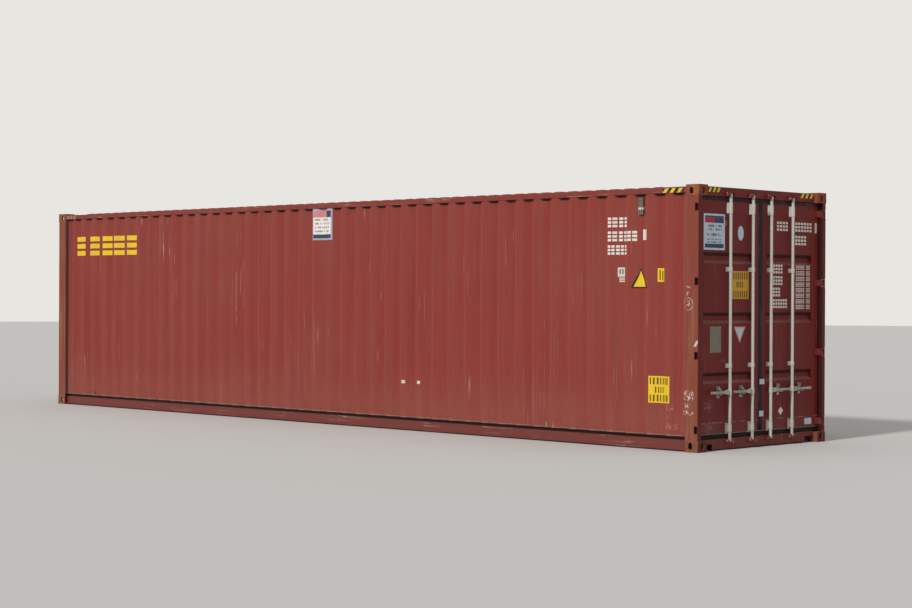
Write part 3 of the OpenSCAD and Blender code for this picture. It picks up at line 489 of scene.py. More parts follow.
def side_wall_paint(paint, side):
    """Corrugated side wall, bleached on its outer faces, with a painted shadow in its recesses
    under the top rail, a painted highlight on the flanks that face the front end, and painted
    shade beside the front post
    """
    finish = Finish(f"side_wall_paint_{side}", paint, paint.wall, 0.24)
    finish.weather(paint.wall_faded)
    outer = abs(finish.y).rise(*WAVE_STEP)
    band = finish.noise(2.1, stretch=(1, 1, 0.1), detail=2, shift=0.7).rise(0.35, 0.6)
    finish.tint(outer * band * 0.5 * paint.fade, paint.wall_faded)
    finish.rubbed(0.75, paint.scrape)
    finish.tint(finish.z.rise(*WALL_LIP) * finish.grit.rise(0.3, 0.55) * 0.7, paint.dust)
    finish.streaked(finish.x.rise(*BESIDE_REAR_POST) * 0.9)
    # Painted shadow of the top rail: the recesses just below it go dark
    rail_shadow = (1 - outer) * finish.z.rise(*UNDER_TOP_RAIL)
    finish.tint(rail_shadow * 0.9, paint.shade_and_dark_tint)
    # Painted highlight: flanks that face the front end are paler
    finish.tint(finish.facing("X").rise(-0.15, -0.4) * 0.5, blend(paint.wall_faded, 1.25))
    # Painted shade: the wall's strip beside the front post goes near black
    finish.tint(finish.x.rise(*BESIDE_FRONT_POST) * 0.9, paint.deep_painted_shade)
    for area in WALL_CHALK:
        finish.tint(finish.scribble(finish.x, area, 26) * 0.6, paint.scrape)
    if side == "left":
        finish.chalked()
    spots = finish.rusted(finish.near)
    finish.pale_inside(finish.facing("Y") * -SIDES[side])
    dents = finish.noise(1.7, detail=2, shift=3.9)
    return finish.made(0.52 + 0.3 * spots + 0.1 * finish.near,
                       height=finish.grit * 0.25 + dents * 9.0 + spots * 0.5)


def frame_paint(paint):
    """Rails, cross members and tunnel, darker and greyer on the bottom and top rails, with painted
    near-black shade under the walls' bottom edge and on faces that look down
    """
    finish = Finish("frame_paint", paint, paint.wall, 0.24)
    finish.weather(paint.wall_faded, fade=0.8, dust_top=0.35)
    # Darker and greyer on the bottom rails, and a little on the top rails
    low = finish.z.rise(*LOW_RAILS) * 0.85 + finish.z.rise(*HIGH_RAILS) * 0.35
    finish.tint(low, blend(paint.wall, 0.57, paint.chalk, 0.035))
    lines = abs(finish.noise(8, stretch=(0.08, 0.08, 2.5), shift=1.9) - 0.5)
    worn = lines.rise(0.02, 0.006) * finish.noise(2.2, detail=2, shift=6.1).rise(0.5, 0.62)
    finish.tint(worn * 0.35, paint.scrape)
    spots = finish.rusted(finish.near, 16)
    # Painted shade: near black in the band under the wall's bottom edge and on faces that look
    # down
    in_shade = finish.z.within(*UNDER_WALL, 0.004).most(finish.facing("Z").rise(-0.5, -0.9))
    finish.tint(in_shade * 0.9, paint.deep_painted_shade)
    return finish.made(0.55 + 0.3 * spots, height=finish.grit * 0.3 + spots * 0.7)


def roof_paint(paint):
    """Roof sheets, bleached and stained, pale below"""
    finish = Finish("roof_paint", paint, paint.wall, 0.2)
    finish.weather(paint.wall_faded, fade=1.5)
    puddles = finish.noise(1.9, detail=5, rough=0.6, shift=4.7)
    finish.tint(puddles.rise(0.52, 0.68) * 0.5, paint.dust)
    spots = finish.rusted(puddles, 9)
    finish.pale_inside(finish.facing("Z") * -1)
    return finish.made(0.6 + 0.25 * spots,
                       height=finish.grit * 0.3 + puddles * 2 + spots * 0.5)


def front_wall_paint(paint):
    """Closed end, with the same paint as the sides and a pale inner face"""
    finish = Finish("front_wall_paint", paint, paint.wall, 0.24)
    finish.weather(paint.wall_faded)
    finish.rubbed(0.6, paint.scrape)
    spots = finish.rusted(finish.near)
    finish.pale_inside(finish.facing("X"))
    return finish.made(0.54 + 0.3 * spots, height=finish.grit * 0.3 + spots * 0.5)


def door_paint(paint):
    """Doors, header and sill: a deeper tone, in part painted shade of the door end, redder on the
    right hinge stile; painted shade on faces that look down and on the hinge blades, dust and
    painted light on faces that look up, with a worn seam and faint chalk"""
    finish = Finish("door_paint", paint, paint.door)
    finish.weather(blend(paint.door, 0.8, paint.wall_faded, 0.2), fade=0.6, dust_top=0.5)
    finish.rubbed(0.45, paint.scrape, patch_scale=2.4, width=0.008)
    stile = finish.y.rise(*HINGE_STILE)
    finish.tint(stile * 0.45, paint.wall)
    # Painted shade on the sunlit faces of the right hinge blades
    blade = finish.facing("Y").rise(-0.4, -0.7) * stile
    finish.tint(blade * 0.6, paint.grime_and_shade)
    # Painted shade: faces that look down, such as the grooves' upper slopes, go dark
    slope = finish.facing("Z")
    finish.tint(slope.rise(-0.2, -0.6) * 0.85, paint.shade_and_dark_tint)
    # Dust and painted light: faces that look up, such as the grooves' lower slopes, go paler
    dust_and_lit_top = slope.rise(0.2, 0.6) * finish.grit.rise(0.3, 0.6)
    finish.tint(dust_and_lit_top * 0.75, blend(paint.dust, 0.5, paint.wall_faded, 0.5))
    # Painted shade, near black, on the hinge blades' side faces where they pass into the posts
    in_shade = abs(finish.facing("Y")).rise(0.5, 0.8) * abs(finish.y).rise(*LEAF_EDGE)
    finish.tint(in_shade * 0.95, paint.deep_painted_shade)
    seam = finish.z.within(*DOOR_SEAM) * finish.noise(9, shift=7.1).rise(0.42, 0.56)
    finish.tint(seam * 0.6, paint.scrape)
    for area in DOOR_CHALK:
        finish.tint(finish.scribble(finish.y, area, 22) * 0.28, paint.chalk)
    spots = finish.rusted(finish.near, 14)
    finish.pale_inside(finish.facing("X") * -1 * finish.x.rise(*LEAF_BACK))
    dents = finish.noise(2.2, detail=2, shift=3.3)
    return finish.made(0.5 + 0.3 * spots,
                       height=finish.grit * 0.25 + dents * 5 + spots * 0.5)


def corner_paint(paint):
    """Posts and hinge lugs: browner paint with streaks and rubs, painted shade on the end faces
    and on faces towards the door opening, with chalk and one knock on the left rear post"""
    finish = Finish("corner_post_paint", paint, paint.corner)
    finish.weather(paint.wall_faded, fade=0.7)
    finish.streaked(0.75)
    # Painted shade: the end faces take a darker door tone
    finish.tint(abs(finish.facing("X")).rise(0.5, 0.8) * 0.9, blend(paint.door, 0.62))
    # Painted shade, near black, on faces that look towards the door opening
    doorway_shade = (finish.facing("Y") * finish.y).rise(-0.5, -0.9)
    finish.tint(doorway_shade * 0.95, paint.shade_and_dark_tint)
    finish.rubbed(0.55, paint.corner_bare, patch_scale=3.0, width=0.012)
    finish.chalked()
    knock = finish.inside(finish.x - finish.z * KNOCK_SLANT, KNOCK, 0.012)
    knock *= finish.noise(26, shift=2.0).rise(0.3, 0.4)
    knock *= finish.facing("Y").rise(-0.5, -0.8) * finish.y.rise(*LEFT_ONLY)
    finish.tint(knock, paint.chalk)
    spots = finish.rusted(finish.near, 15)
    return finish.made(0.55 + 0.3 * spots, height=finish.grit * 0.3 + spots * 0.8)


def keeper_paint(paint):
    """Cam keepers in a darker door tone that is painted shade, knocked bare in spots, the lower
    ones more
    """
    # The keepers' tone is the door paint darkened by a quarter, a painted shade
    finish = Finish("keeper_paint", paint, blend(paint.door, 0.75), 0.14)
    finish.weather(paint.door)
    chips = finish.noise(38, detail=4, rough=0.6, shift=2.7)
    low = finish.z.rise(*LOW_KEEPERS)
    finish.tint(chips.rise(0.54, 0.62) * (0.45 + 0.3 * low), paint.scrape)
    spots = finish.rusted(finish.near, 24)
    return finish.made(0.6 + 0.25 * spots, height=finish.grit * 0.3 + chips * 0.5)


def casting_paint(paint):
    """Cast corners, knocked down to tan primer and rust, with painted shade on their end faces,
    darker on the lower castings
    """
    finish = Finish("casting_paint", paint, paint.corner, 0.14)
    finish.weather(paint.corner_bare, fade=1.2)
    chips = finish.noise(18, detail=5, rough=0.65, shift=5.2)
    finish.tint(chips.rise(0.49, 0.58) * 0.6, paint.corner_bare)
    low = finish.z.rise(*LOW_CASTINGS)
    # Painted shade: the end faces take a darker door tone, more on the lower castings
    end = abs(finish.facing("X")).rise(0.5, 0.8)
    finish.tint(end * (0.3 + 0.5 * low), blend(paint.door, 0.8))
    # Darker on the lower castings
    finish.tint(low * 0.25, paint.shade_and_dark_tint)
    spots = finish.rusted(finish.near * 0.4 + 0.4, 22)
    return finish.made(0.62 + 0.25 * spots,
                       height=finish.grit * 0.5 + chips * 1.2 + spots * 0.6)


def galvanised_steel(paint, name="galvanised_steel", handled=0.0):
    """Hot-dipped zinc with its crystals, dulled, with rust weeping at the joints; handled is
    how far hands and dirt have darkened it"""
    finish = Finish(name, paint, paint.galvanised, 0.3)
    spangle = finish.cells(90)
    cloud = finish.noise(6, stretch=(1, 1, 0.3), detail=4)
    dull = (spangle * 0.25 + cloud * 0.75).rise(0.40, 0.72)
    finish.tint(dull * 0.8, paint.galvanised_dull)
    finish.tint(cloud.rise(0.25, 0.6) * handled, blend(paint.galvanised_dull, 0.45))
    stain = finish.noise(14, stretch=(1, 1, 0.25), detail=4, shift=4.2).rise(0.66, 0.78)
    finish.tint(stain * 0.5, paint.rust)
    near = finish.z.rise(0.5, 0.1)
    finish.tint(near * cloud.rise(0.4, 0.6) * 0.35, paint.dust)
    height = spangle * 0.1 + finish.noise(120, detail=2) * 0.2 + stain * 0.3
    return finish.made(0.42 + 0.2 * cloud + 0.2 * stain, 0.12 - 0.1 * stain, height)


def floor_steel(paint):
    """Steel strip of the floor, polished by traffic"""
    finish = Finish("floor_steel", paint, paint.galvanised_dull, 0.3)
    scuffs = finish.noise(14, stretch=(0.1, 1, 1), detail=5, rough=0.6)
    finish.tint(scuffs.rise(0.4, 0.65), paint.rust_dark)
    return finish.made(0.4 + 0.3 * scuffs, 0.7 - 0.5 * scuffs.rise(0.5, 0.7), scuffs)


def seal_rubber(paint):
    """Black rubber, chalky with dust, with painted shade low down and a painted highlight along
    the top rim of the strip below
    """
    finish = Finish("seal_rubber", paint, paint.rubber, 0.12)
    bloom = finish.noise(7, stretch=(1, 1, 0.4), detail=4)
    finish.tint(bloom.rise(0.45, 0.75) * 0.25, paint.dust)
    finish.tint(0.2, paint.shade_and_dark_tint)
    # Painted shade: the seals go near black low down
    finish.tint(finish.z.rise(*LOW_SEALS) * 0.6, paint.deep_painted_shade)
    # Painted highlight: a pale line along the top rim of the strip below the doors
    finish.tint(finish.z.within(*SEAL_RIM) * 0.6, paint.inside)
    return finish.made(0.7 + 0.2 * bloom, height=finish.noise(140, detail=2) * 0.2)


def plywood(paint):
    """Floor boards with long grain, scuffs and dark tyre marks"""
    finish = Finish("plywood", paint, paint.plywood, 0.15)
    grain = finish.noise(26, stretch=(0.06, 1, 1), detail=5, rough=0.6)
    finish.tint(grain.rise(0.35, 0.7), paint.plywood_dark)
    tyres = finish.noise(3.4, stretch=(0.12, 1, 1), shift=2.6).rise(0.52, 0.66)
    finish.tint(tyres * 0.5, paint.rubber)
    return finish.made(0.6 + 0.2 * grain, height=grain * 0.6)


def vent_plastic(paint):
    """Moulded vent, streaked by rain, with painted shade on its end-facing sides and a pale patch
    near its top
    """
    finish = Finish("vent_plastic", paint, paint.vent)
    streak = finish.noise(60, stretch=(1, 1, 0.1))
    finish.tint(streak.rise(0.42, 0.66) * 0.35, paint.dust)
    # Painted shade on the vent's end-facing sides
    finish.tint(abs(finish.facing("X")).rise(0.4, 0.8) * 0.7, paint.shade_and_dark_tint)
    patch = finish.z.within(*VENT_PATCH, 0.008) * streak.rise(0.36, 0.5)
    finish.tint(patch * 0.9, paint.vent_patch)
    return finish.made(0.55 + 0.2 * streak, height=streak * 0.3)


def mark_film(name, paint, colour, under, wear=0.3, rows=(), across="x"):
    """Painted mark or printed film, chipped down to the paint under it; rows are dark dashes,
    each row (low, high, bottom, top, count)"""
    finish = Finish(name, paint, colour, 0.2)
    chips = finish.noise(34, detail=5, rough=0.65, shift=1.7)
    runs = finish.noise(12, stretch=(1, 1, 0.12))
    finish.tint(runs.rise(0.4, 0.75) * 0.25, paint.dust)
    axis = getattr(finish, across)
    for *area, count in rows:
        low, high = area[:2]
        pitch = (high - low) / count
        dash = ((axis - low) % pitch).within(0.2 * pitch, 0.68 * pitch, 0.04 * pitch)
        finish.tint(dash * finish.inside(axis, area) * 0.85, paint.shade_and_dark_tint)
    lost = chips.rise(0.68 - 0.1 * wear, 0.71 - 0.1 * wear)
    finish.tint(lost, under)
    return finish.made(0.42 + 0.2 * lost, height=chips * 0.2 - lost * 0.3)


def sign_film(name, paint, ground, across, bands, ruled, ink):
    """Blank sign: a pale ground with plain bands (low, high, bottom, top, colour) and rows of
    broken rules in ink, given as areas"""
    finish = Finish(name, paint, ground, 0.22)
    axis = getattr(finish, across)
    haze = finish.noise(9, stretch=(1, 1, 0.2), detail=4)
    finish.tint(haze.rise(0.4, 0.7) * 0.2, paint.dust)
    for *area, colour in bands:
        finish.tint(finish.inside(axis, area), colour)
    for area in ruled:
        broken = finish.noise(34, stretch=(1, 1, 0.15), detail=1, shift=area[2]).rise(0.42, 0.5)
        finish.tint(finish.inside(axis, area) * broken * 0.7, ink)
    return finish.made(0.35 + 0.2 * haze, height=haze * 0.3)


def plate_metal(name, paint, colour):
    """Dull anodised plate with fine brushing"""
    finish = Finish(name, paint, colour, 0.25)
    brush = finish.noise(80, stretch=(1, 0.08, 1))
    cloud = finish.noise(8, detail=4, shift=3.8)
    finish.tint(cloud.rise(0.4, 0.7) * 0.4, paint.dust)
    return finish.made(0.4 + 0.25 * cloud, 0.3 - 0.1 * cloud, brush * 0.3)


def weld_paint(paint):
    """Painted weld beads with their ripples"""
    finish = Finish("weld_paint", paint, paint.corner, 0.18)
    finish.weather(paint.wall_faded, fade=0.5)
    ripples = finish.noise(160, detail=2)
    finish.rusted(finish.near + 0.35, 30)
    return finish.made(0.5 + 0.2 * ripples, height=ripples * 1.5)


def studio_floor(studio):
    """Pale matt floor, with a trace of mottling"""
    finish = Finish("studio_floor", None, studio.floor, 0.08)
    mottle = finish.noise(0.8, detail=4)
    finish.tint(mottle * 0.06, blend(studio.floor, 0.8))
    return finish.made(0.85 + 0.05 * mottle)


def geometry_steps(name, build):
    """A node group that changes a mesh; build gets a function that adds nodes and the
    incoming geometry, and returns the outgoing geometry"""
    group = bpy.data.node_groups.new(name, "GeometryNodeTree")
    for way in ("INPUT", "OUTPUT"):
        group.interface.new_socket("Geometry", in_out=way, socket_type="NodeSocketGeometry")
    start = add_node(group, "NodeGroupInput")
    end = add_node(group, "NodeGroupOutput")

    def node(kind, settings=None, inputs=None):
        return add_node(group, kind, settings, inputs).outputs[0]

    group.links.new(build(node, start.outputs[0]), end.inputs[0])
    return group


def bend_picker(name, low, high):
    """Merges a CAD mesh's loose triangles and weights its edges between two angles, for a
    Bevel modifier"""
    def build(node, geometry):
        merged = node("GeometryNodeMergeByDistance", inputs={"Geometry": geometry,
                                                             "Distance": MERGE})
        angle = node("GeometryNodeInputMeshEdgeAngle")
        sharp = node("FunctionNodeCompare", {"operation": "GREATER_THAN"}, {0: angle, 1: low})
        blunt = node("FunctionNodeCompare", {"operation": "LESS_THAN"}, {0: angle, 1: high})
        both = node("FunctionNodeBooleanMath", {"operation": "AND"}, {0: sharp, 1: blunt})
        return node("GeometryNodeStoreNamedAttribute", {"data_type": "FLOAT", "domain": "EDGE"},
                    {"Geometry": merged, "Name": "bevel_weight_edge", "Value": both})
    return geometry_steps(name, build)


def soft_shading():
    """Smooth shading that keeps edges over 30 degrees crisp"""
    def build(node, geometry):
        smooth = node("GeometryNodeSetShadeSmooth", {"domain": "FACE"},
                      {"Geometry": geometry, "Shade Smooth": True})
        angle = node("GeometryNodeInputMeshEdgeAngle")
        sharp = node("FunctionNodeCompare", {"operation": "GREATER_THAN"},
                     {0: angle, 1: math.radians(30)})
        return node("GeometryNodeSetShadeSmooth", {"domain": "EDGE"},
                    {"Geometry": smooth, "Selection": sharp, "Shade Smooth": False})
    return geometry_steps("soft_shading", build)


def round_edges(piece, picker, shading, width, segments):
    """Rounds a CAD part's edges with modifiers, its mesh left as it is"""
    piece.modifiers.new("pick_edges", "NODES").node_group = picker
    bevel = piece.modifiers.new("round_edges", "BEVEL")
    bevel.limit_method = "WEIGHT"
    bevel.width = width
    bevel.segments = segments
    bevel.use_clamp_overlap = True
    piece.modifiers.new("shade", "NODES").node_group = shading
    weighted = piece.modifiers.new("flat_faces", "WEIGHTED_NORMAL")
    weighted.keep_sharp = True


def add_object(name, data):
    """A new object in the scene"""
    made = bpy.data.objects.new(name, data)
    bpy.context.scene.collection.objects.link(made)
    return made


def mesh_object(name, mesh, material):
    """Turns a bmesh into an object with one material"""
    data = bpy.data.meshes.new(name)
    mesh.to_mesh(data)
    mesh.free()
    data.materials.append(material)
    return add_object(name, data)


def finished_piece(name, mesh, material, body):
    """Turns a bmesh into a piece that rides on a CAD body"""
    bmesh.ops.recalc_face_normals(mesh, faces=mesh.faces)
    piece = mesh_object(name, mesh, material)
    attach(piece, body)
    return piece


def add_slab(mesh, low, high):
    """A block between two corners"""
    low, high = Vector(low), Vector(high)
    size = Matrix.Diagonal((*(high - low), 1))
    bmesh.ops.create_cube(mesh, size=1, matrix=Matrix.Translation((low + high) / 2) @ size)


def add_post(mesh, start, end, radius, segments, taper=1.0):
    """A round bar between two points"""
    start, end = Vector(start), Vector(end)
    along = end - start
    turn = along.to_track_quat("Z", "Y").to_matrix().to_4x4()
    bmesh.ops.create_cone(mesh, cap_ends=True, cap_tris=False, segments=segments,
                          radius1=radius, radius2=radius * taper, depth=along.length,
                          matrix=Matrix.Translation((start + end) / 2) @ turn)


def add_film(mesh, corners, outward):
    """A flat film: a back face with the given corners and a front one, joined round their edges;
    an extrusion would order its faces differently from run to run"""
    back, front = (mesh.faces.new([mesh.verts.new(Vector(corner) + shift) for corner in corners])
                   for shift in (Vector(), outward))
    bmesh.ops.bridge_loops(mesh, edges=[*back.edges, *front.edges])


def loose_solids(node):
    """The lowest and highest corner of each solid in a CAD node"""
    mesh = bmesh.new()
    mesh.from_mesh(NODES[node].data)
    bmesh.ops.remove_doubles(mesh, verts=mesh.verts, dist=MERGE)
    unseen = set(mesh.verts)
    boxes = []
    while unseen:
        island = [unseen.pop()]
        for vert in island:
            for edge in vert.link_edges:
                other = edge.other_vert(vert)
                if other in unseen:
                    unseen.remove(other)
                    island.append(other)
        boxes.append([Vector(end(v.co[i] for v in island) for i in range(3))
                      for end in (min, max)])
    mesh.free()
    return sorted(boxes, key=lambda box: tuple(round(c, 4) for c in (*box[0], *box[1])))


class CONTAINER_OT_paint_parts(bpy.types.Operator):
    """Gives each CAD part its finish and rounds its edges"""

    bl_idname = "container.paint_parts"
    bl_label = "Paint the parts"

    def execute(self, context):
        paint = context.scene.container_paint
        edges = context.scene.container_edges
        by_slot = {
            "container_paint": frame_paint(paint),
            "door_paint": door_paint(paint),
            "corner_paint": corner_paint(paint),
            "galvanised_steel": galvanised_steel(paint),
            "floor_steel": floor_steel(paint),
            "gasket_rubber": seal_rubber(paint),
            "plywood": plywood(paint),
            "vent_plastic": vent_plastic(paint),
        }
        castings = casting_paint(paint)
        roof = roof_paint(paint)
        keepers = keeper_paint(paint)
        handles = galvanised_steel(paint, "handled_steel", 0.6)
        by_node = {
            "left_side_wall": side_wall_paint(paint, "left"),
            "right_side_wall": side_wall_paint(paint, "right"),
            "front_wall": front_wall_paint(paint),
            "roof_sheet": roof,
            "roof_corner_plates": roof,
        }
        by_ending = {"_castings": castings, "_cam_keepers": keepers, "_handle": handles,
                     "_handle_retainers": handles, "_pins": handles}
        shading = soft_shading()
        bends = bend_picker("pick_bends", math.radians(15), math.radians(75))
        corners = bend_picker("pick_corners", math.radians(30), math.radians(180))
        widths = {"container_paint": edges.plate_edge, "door_paint": edges.plate_edge,
                  "corner_paint": edges.plate_edge, "galvanised_steel": edges.gear_edge,
                  "gasket_rubber": edges.gear_edge, "vent_plastic": edges.gear_edge}
        for name, part in NODES.items():
            slot = SLOT_OF[name]
            special = [finish for end, finish in by_ending.items() if name.endswith(end)]
            part.data.materials.clear()
            part.data.materials.append(by_node.get(name, (special or [by_slot[slot]])[0]))
            if name.endswith("_wall"):
                round_edges(part, bends, shading, edges.sheet_bend, edges.segments + 1)
            elif name.endswith("_castings"):
                round_edges(part, corners, shading, edges.casting_edge, edges.segments)
            elif slot in widths:
                round_edges(part, corners, shading, widths[slot], edges.segments)
        return {"FINISHED"}


class WallFilms:
    """Thin films pressed onto the corrugated left wall, gathered in one mesh"""

    def __init__(self, context, lift=0.0):
        bend = context.scene.container_edges.sheet_bend
        marks = context.scene.container_marks
        wall = NODES["left_side_wall"]
        bends = sorted({round(v.co.x, 4) for v in wall.data.vertices})
        self.cuts = [x + step * bend for x in bends for step in (-1, 0, 1)]
        self.surface = BVHTree.FromObject(wall, context.evaluated_depsgraph_get())
        self.lift = marks.lift + lift
        self.film = marks.film
        self.mesh = bmesh.new()

    def press(self, outline):
        """Adds a flat film with corners (x, z), cut at the bends it crosses"""
        y = WALL_LOW.y - 0.05
        face = self.mesh.faces.new([self.mesh.verts.new((x, y, z)) for x, z in outline])
        low, high = min(x for x, z in outline), max(x for x, z in outline)
        geometry = [face, *face.edges, *face.verts]
        for x in self.cuts:
            if low < x < high:
                cut = bmesh.ops.bisect_plane(self.mesh, geom=geometry, dist=MERGE,
                                             plane_co=(x, 0, 0), plane_no=(1, 0, 0))
                geometry = cut["geom"]
        for vert in {e for e in geometry if isinstance(e, bmesh.types.BMVert)}:
            hit = self.surface.ray_cast(vert.co, Vector((0, 1, 0)))[0]
            vert.co.y = hit.y - self.lift

    def piece(self, name, material):
        """The finished film, its thickness given outwards"""
        made = finished_piece(name, self.mesh, material, "container")
        film = made.modifiers.new("film", "SOLIDIFY")
        film.thickness = self.film
        film.offset = 1
        outward = sum(face.normal.y * face.area for face in made.data.polygons)
        if outward > 0:
            made.data.flip_normals()


def press_blocks(context, name, material, boxes):
    """One piece of films on the left wall, each filling (low, high, bottom, top)"""
    films = WallFilms(context)
    for low, high, bottom, top in boxes:
        films.press([(low, bottom), (high, bottom), (high, top), (low, top)])
    films.piece(name, material)


def code_bars(area, count, marks):
    """Rows of three plain bars that stand where painted characters were, as boxes of
    (low, high, bottom, top)"""
    low, high, bottom, top = area
    pitch = (high - low) / (count - marks.block_gap)
    width = pitch * (1 - marks.block_gap)
    bar = (top - bottom) * marks.bar_share
    step = (top - bottom - bar) / 2
    return [(low + i * pitch, low + i * pitch + width, bottom + j * step, bottom + j * step + bar)
            for i in range(count) for j in range(3)]


# Places of the side markings: (low x, high x, bottom, top), a code's with its count of blocks
SIDE_CODES = (((4.812, 5.083, 2.455, 2.564), 4), ((4.813, 5.220, 2.297, 2.408), 6),
              ((4.814, 5.078, 2.148, 2.253), 5), ((4.962, 5.036, 1.842, 1.893), 3))
SIDE_DIGIT = (5.297, 5.362, 2.306, 2.422)
SIDE_LABEL = (4.944, 5.043, 1.902, 2.005)
SIDE_NAME = (-5.650, -4.095, 2.256, 2.538)
SIDE_SIGN = (-0.226, 0.168, 2.397, 2.802)
SIDE_TRIANGLE = (5.155, 5.386, 1.774, 2.000)
SIDE_TICKET = (5.508, 5.594, 1.843, 1.993)
SIDE_PANEL = (5.409, 5.701, 0.516, 0.809)
SIDE_SPECKS = ((1.474, 1.546, 0.586, 0.626), (1.760, 1.813, 0.586, 0.626))


def panel_rows(panel):
    """Three rows of dark dashes on a yellow panel, as (low, high, bottom, top, count)"""
    low, high, bottom, top = panel
    edge = 0.012
    return [(low + edge, high - edge, top - 0.092, top - 0.016, 7),
            (low + 6 * edge, high - 8 * edge, top - 0.184, top - 0.118, 4),
            (low + edge, high - edge, bottom + 0.014, bottom + 0.088, 7)]


class CONTAINER_OT_side_marks(bpy.types.Operator):
    """Presses plain markings onto the corrugated wall"""

    bl_idname = "container.side_marks"
    bl_label = "Side markings"

    def execute(self, context):
        paint = context.scene.container_paint
        marks = context.scene.container_marks
        low, high, bottom, top = SIDE_TICKET
        ticket_rows = [(low + 0.012, low + 0.052, bottom + 0.02, top - 0.02, 1),
                       (low + 0.05, high, bottom + 0.015, top - 0.03, 1)]
        yellow = mark_film("yellow_side_marks", paint, marks.yellow, paint.wall, 0.1,
                           panel_rows(SIDE_PANEL) + ticket_rows)
        low, high, bottom, top = SIDE_LABEL
        label_rows = [(low + 0.01, high - 0.01, bottom + 0.03, top - 0.02, 2)]

        codes = [box for area, count in SIDE_CODES for box in code_bars(area, count, marks)]
        press_blocks(context, "side_code_blocks", mark_film("white_side_marks", paint,
                                                            marks.white, paint.wall),
                     [*codes, SIDE_DIGIT])
        press_blocks(context, "side_labels", mark_film("label_side_marks", paint, marks.label,
                                                       paint.wall, 0.6, label_rows),
                     [SIDE_LABEL, *SIDE_SPECKS])
        press_blocks(context, "side_yellow_blocks", yellow,
                     [*code_bars(SIDE_NAME, 5, marks), SIDE_PANEL, SIDE_TICKET])
        self.triangle(context, marks, yellow, mark_film("dark_side_marks", paint, marks.dark,
                                                        paint.wall))
        self.sign(context, paint, marks)
        return {"FINISHED"}

    def triangle(self, context, marks, ground, rim_material):
        """A blank triangle on its dark border"""
        low, high, bottom, top = SIDE_TRIANGLE
        middle = (low + high) / 2
        border = WallFilms(context)
        border.press([(low, bottom), (high, bottom), (middle, top)])
        border.piece("side_triangle_border", rim_material)
        rim = 0.11 * (high - low)
        inner = WallFilms(context, lift=2 * marks.film)
        inner.press([(low + 1.3 * rim, bottom + 0.6 * rim), (high - 1.3 * rim, bottom + 0.6 * rim),
                     (middle, top - 1.3 * rim)])
        inner.piece("side_triangle", ground)

    def sign(self, context, paint, marks):
        """A blank sign with bands at its head and foot and four broken rules"""
        low, high, bottom, top = SIDE_SIGN
        edge, head, foot = 0.024, 0.085, 0.05
        west, east = low + edge, high - edge
        head_top = top - edge
        head_bottom = head_top - head
        foot_top = bottom + edge + foot
        split = low + 0.66 * (high - low)
        bands = [(west, east, foot_top, head_bottom, marks.white),
                 (west, split, head_bottom, head_top, blend(marks.red, 0.7, marks.white, 0.3)),
                 (split, east, head_bottom, head_top, marks.blue),
                 (west, east, bottom + edge, foot_top, marks.blue)]
        ruled = [(low + 0.06, high - 0.06, top - 0.15 - k * 0.05, top - 0.13 - k * 0.05)
                 for k in range(4)]
        press_blocks(context, "side_sign", sign_film("side_sign_film", paint, marks.frame, "x",
                                                     bands, ruled, marks.blue), [SIDE_SIGN])


# Places of the door markings: (low y, high y, bottom, top), a code's with its count of blocks
DOOR_SIGN = (-1.034, -0.650, 2.194, 2.589)
DOOR_OVAL = (-0.409, -0.304, 2.308, 2.470)
DOOR_PANEL = (-0.511, -0.204, 1.660, 1.968)
DOOR_PLATE = (-0.914, -0.715, 1.072, 1.357)
DOOR_TRIANGLE = (-0.472, -0.261, 1.171, 1.351)
DOOR_SEAM_PLATES = ((0.012, 0.104, 0.700, 0.759), (0.008, 0.088, 0.339, 0.402))
DOOR_DIAMOND = (0.376, 0.474, 0.340, 0.434)
DOOR_SMALL_LABEL = (0.903, 1.042, 0.210, 0.281)
DOOR_CODES = (((0.334, 0.550, 2.436, 2.541), 4), ((0.699, 1.029, 2.436, 2.541), 6),
              ((0.700, 0.917, 2.281, 2.388), 4))
DOOR_DIGIT = (1.093, 1.138, 2.426, 2.545)
DOOR_WEIGHT_NAMES = (0.264, 0.540, 1.558, 2.082)
DOOR_WEIGHT_FIGURES = (0.716, 0.995, 1.546, 2.063)
DOOR_SCRAP = ((-0.648, 2.522), (-0.632, 2.508), (-0.618, 2.528), (-0.626, 2.496), (-0.616, 2.462),
              (-0.630, 2.474), (-0.642, 2.460), (-0.636, 2.492))
# Blocks in each row of the weights' names, from the lowest row
DOOR_WEIGHT_BLOCKS = (6, 3, 4, 4)


def door_films(boxes, thick, mesh=None):
    """Flat films on the doors' face, each filling (low, high, bottom, top)"""
    mesh = mesh or bmesh.new()
    for low, high, bottom, top in boxes:
        add_slab(mesh, (DOOR_FACE, low, bottom), (DOOR_FACE + thick, high, top))
    return mesh


def door_shape(corners, thick, lift=0.0):
    """One film on the doors' face with its corners at (y, z)"""
    mesh = bmesh.new()
    add_film(mesh, [(DOOR_FACE + lift, y, z) for y, z in corners], OUT * thick)
    return mesh


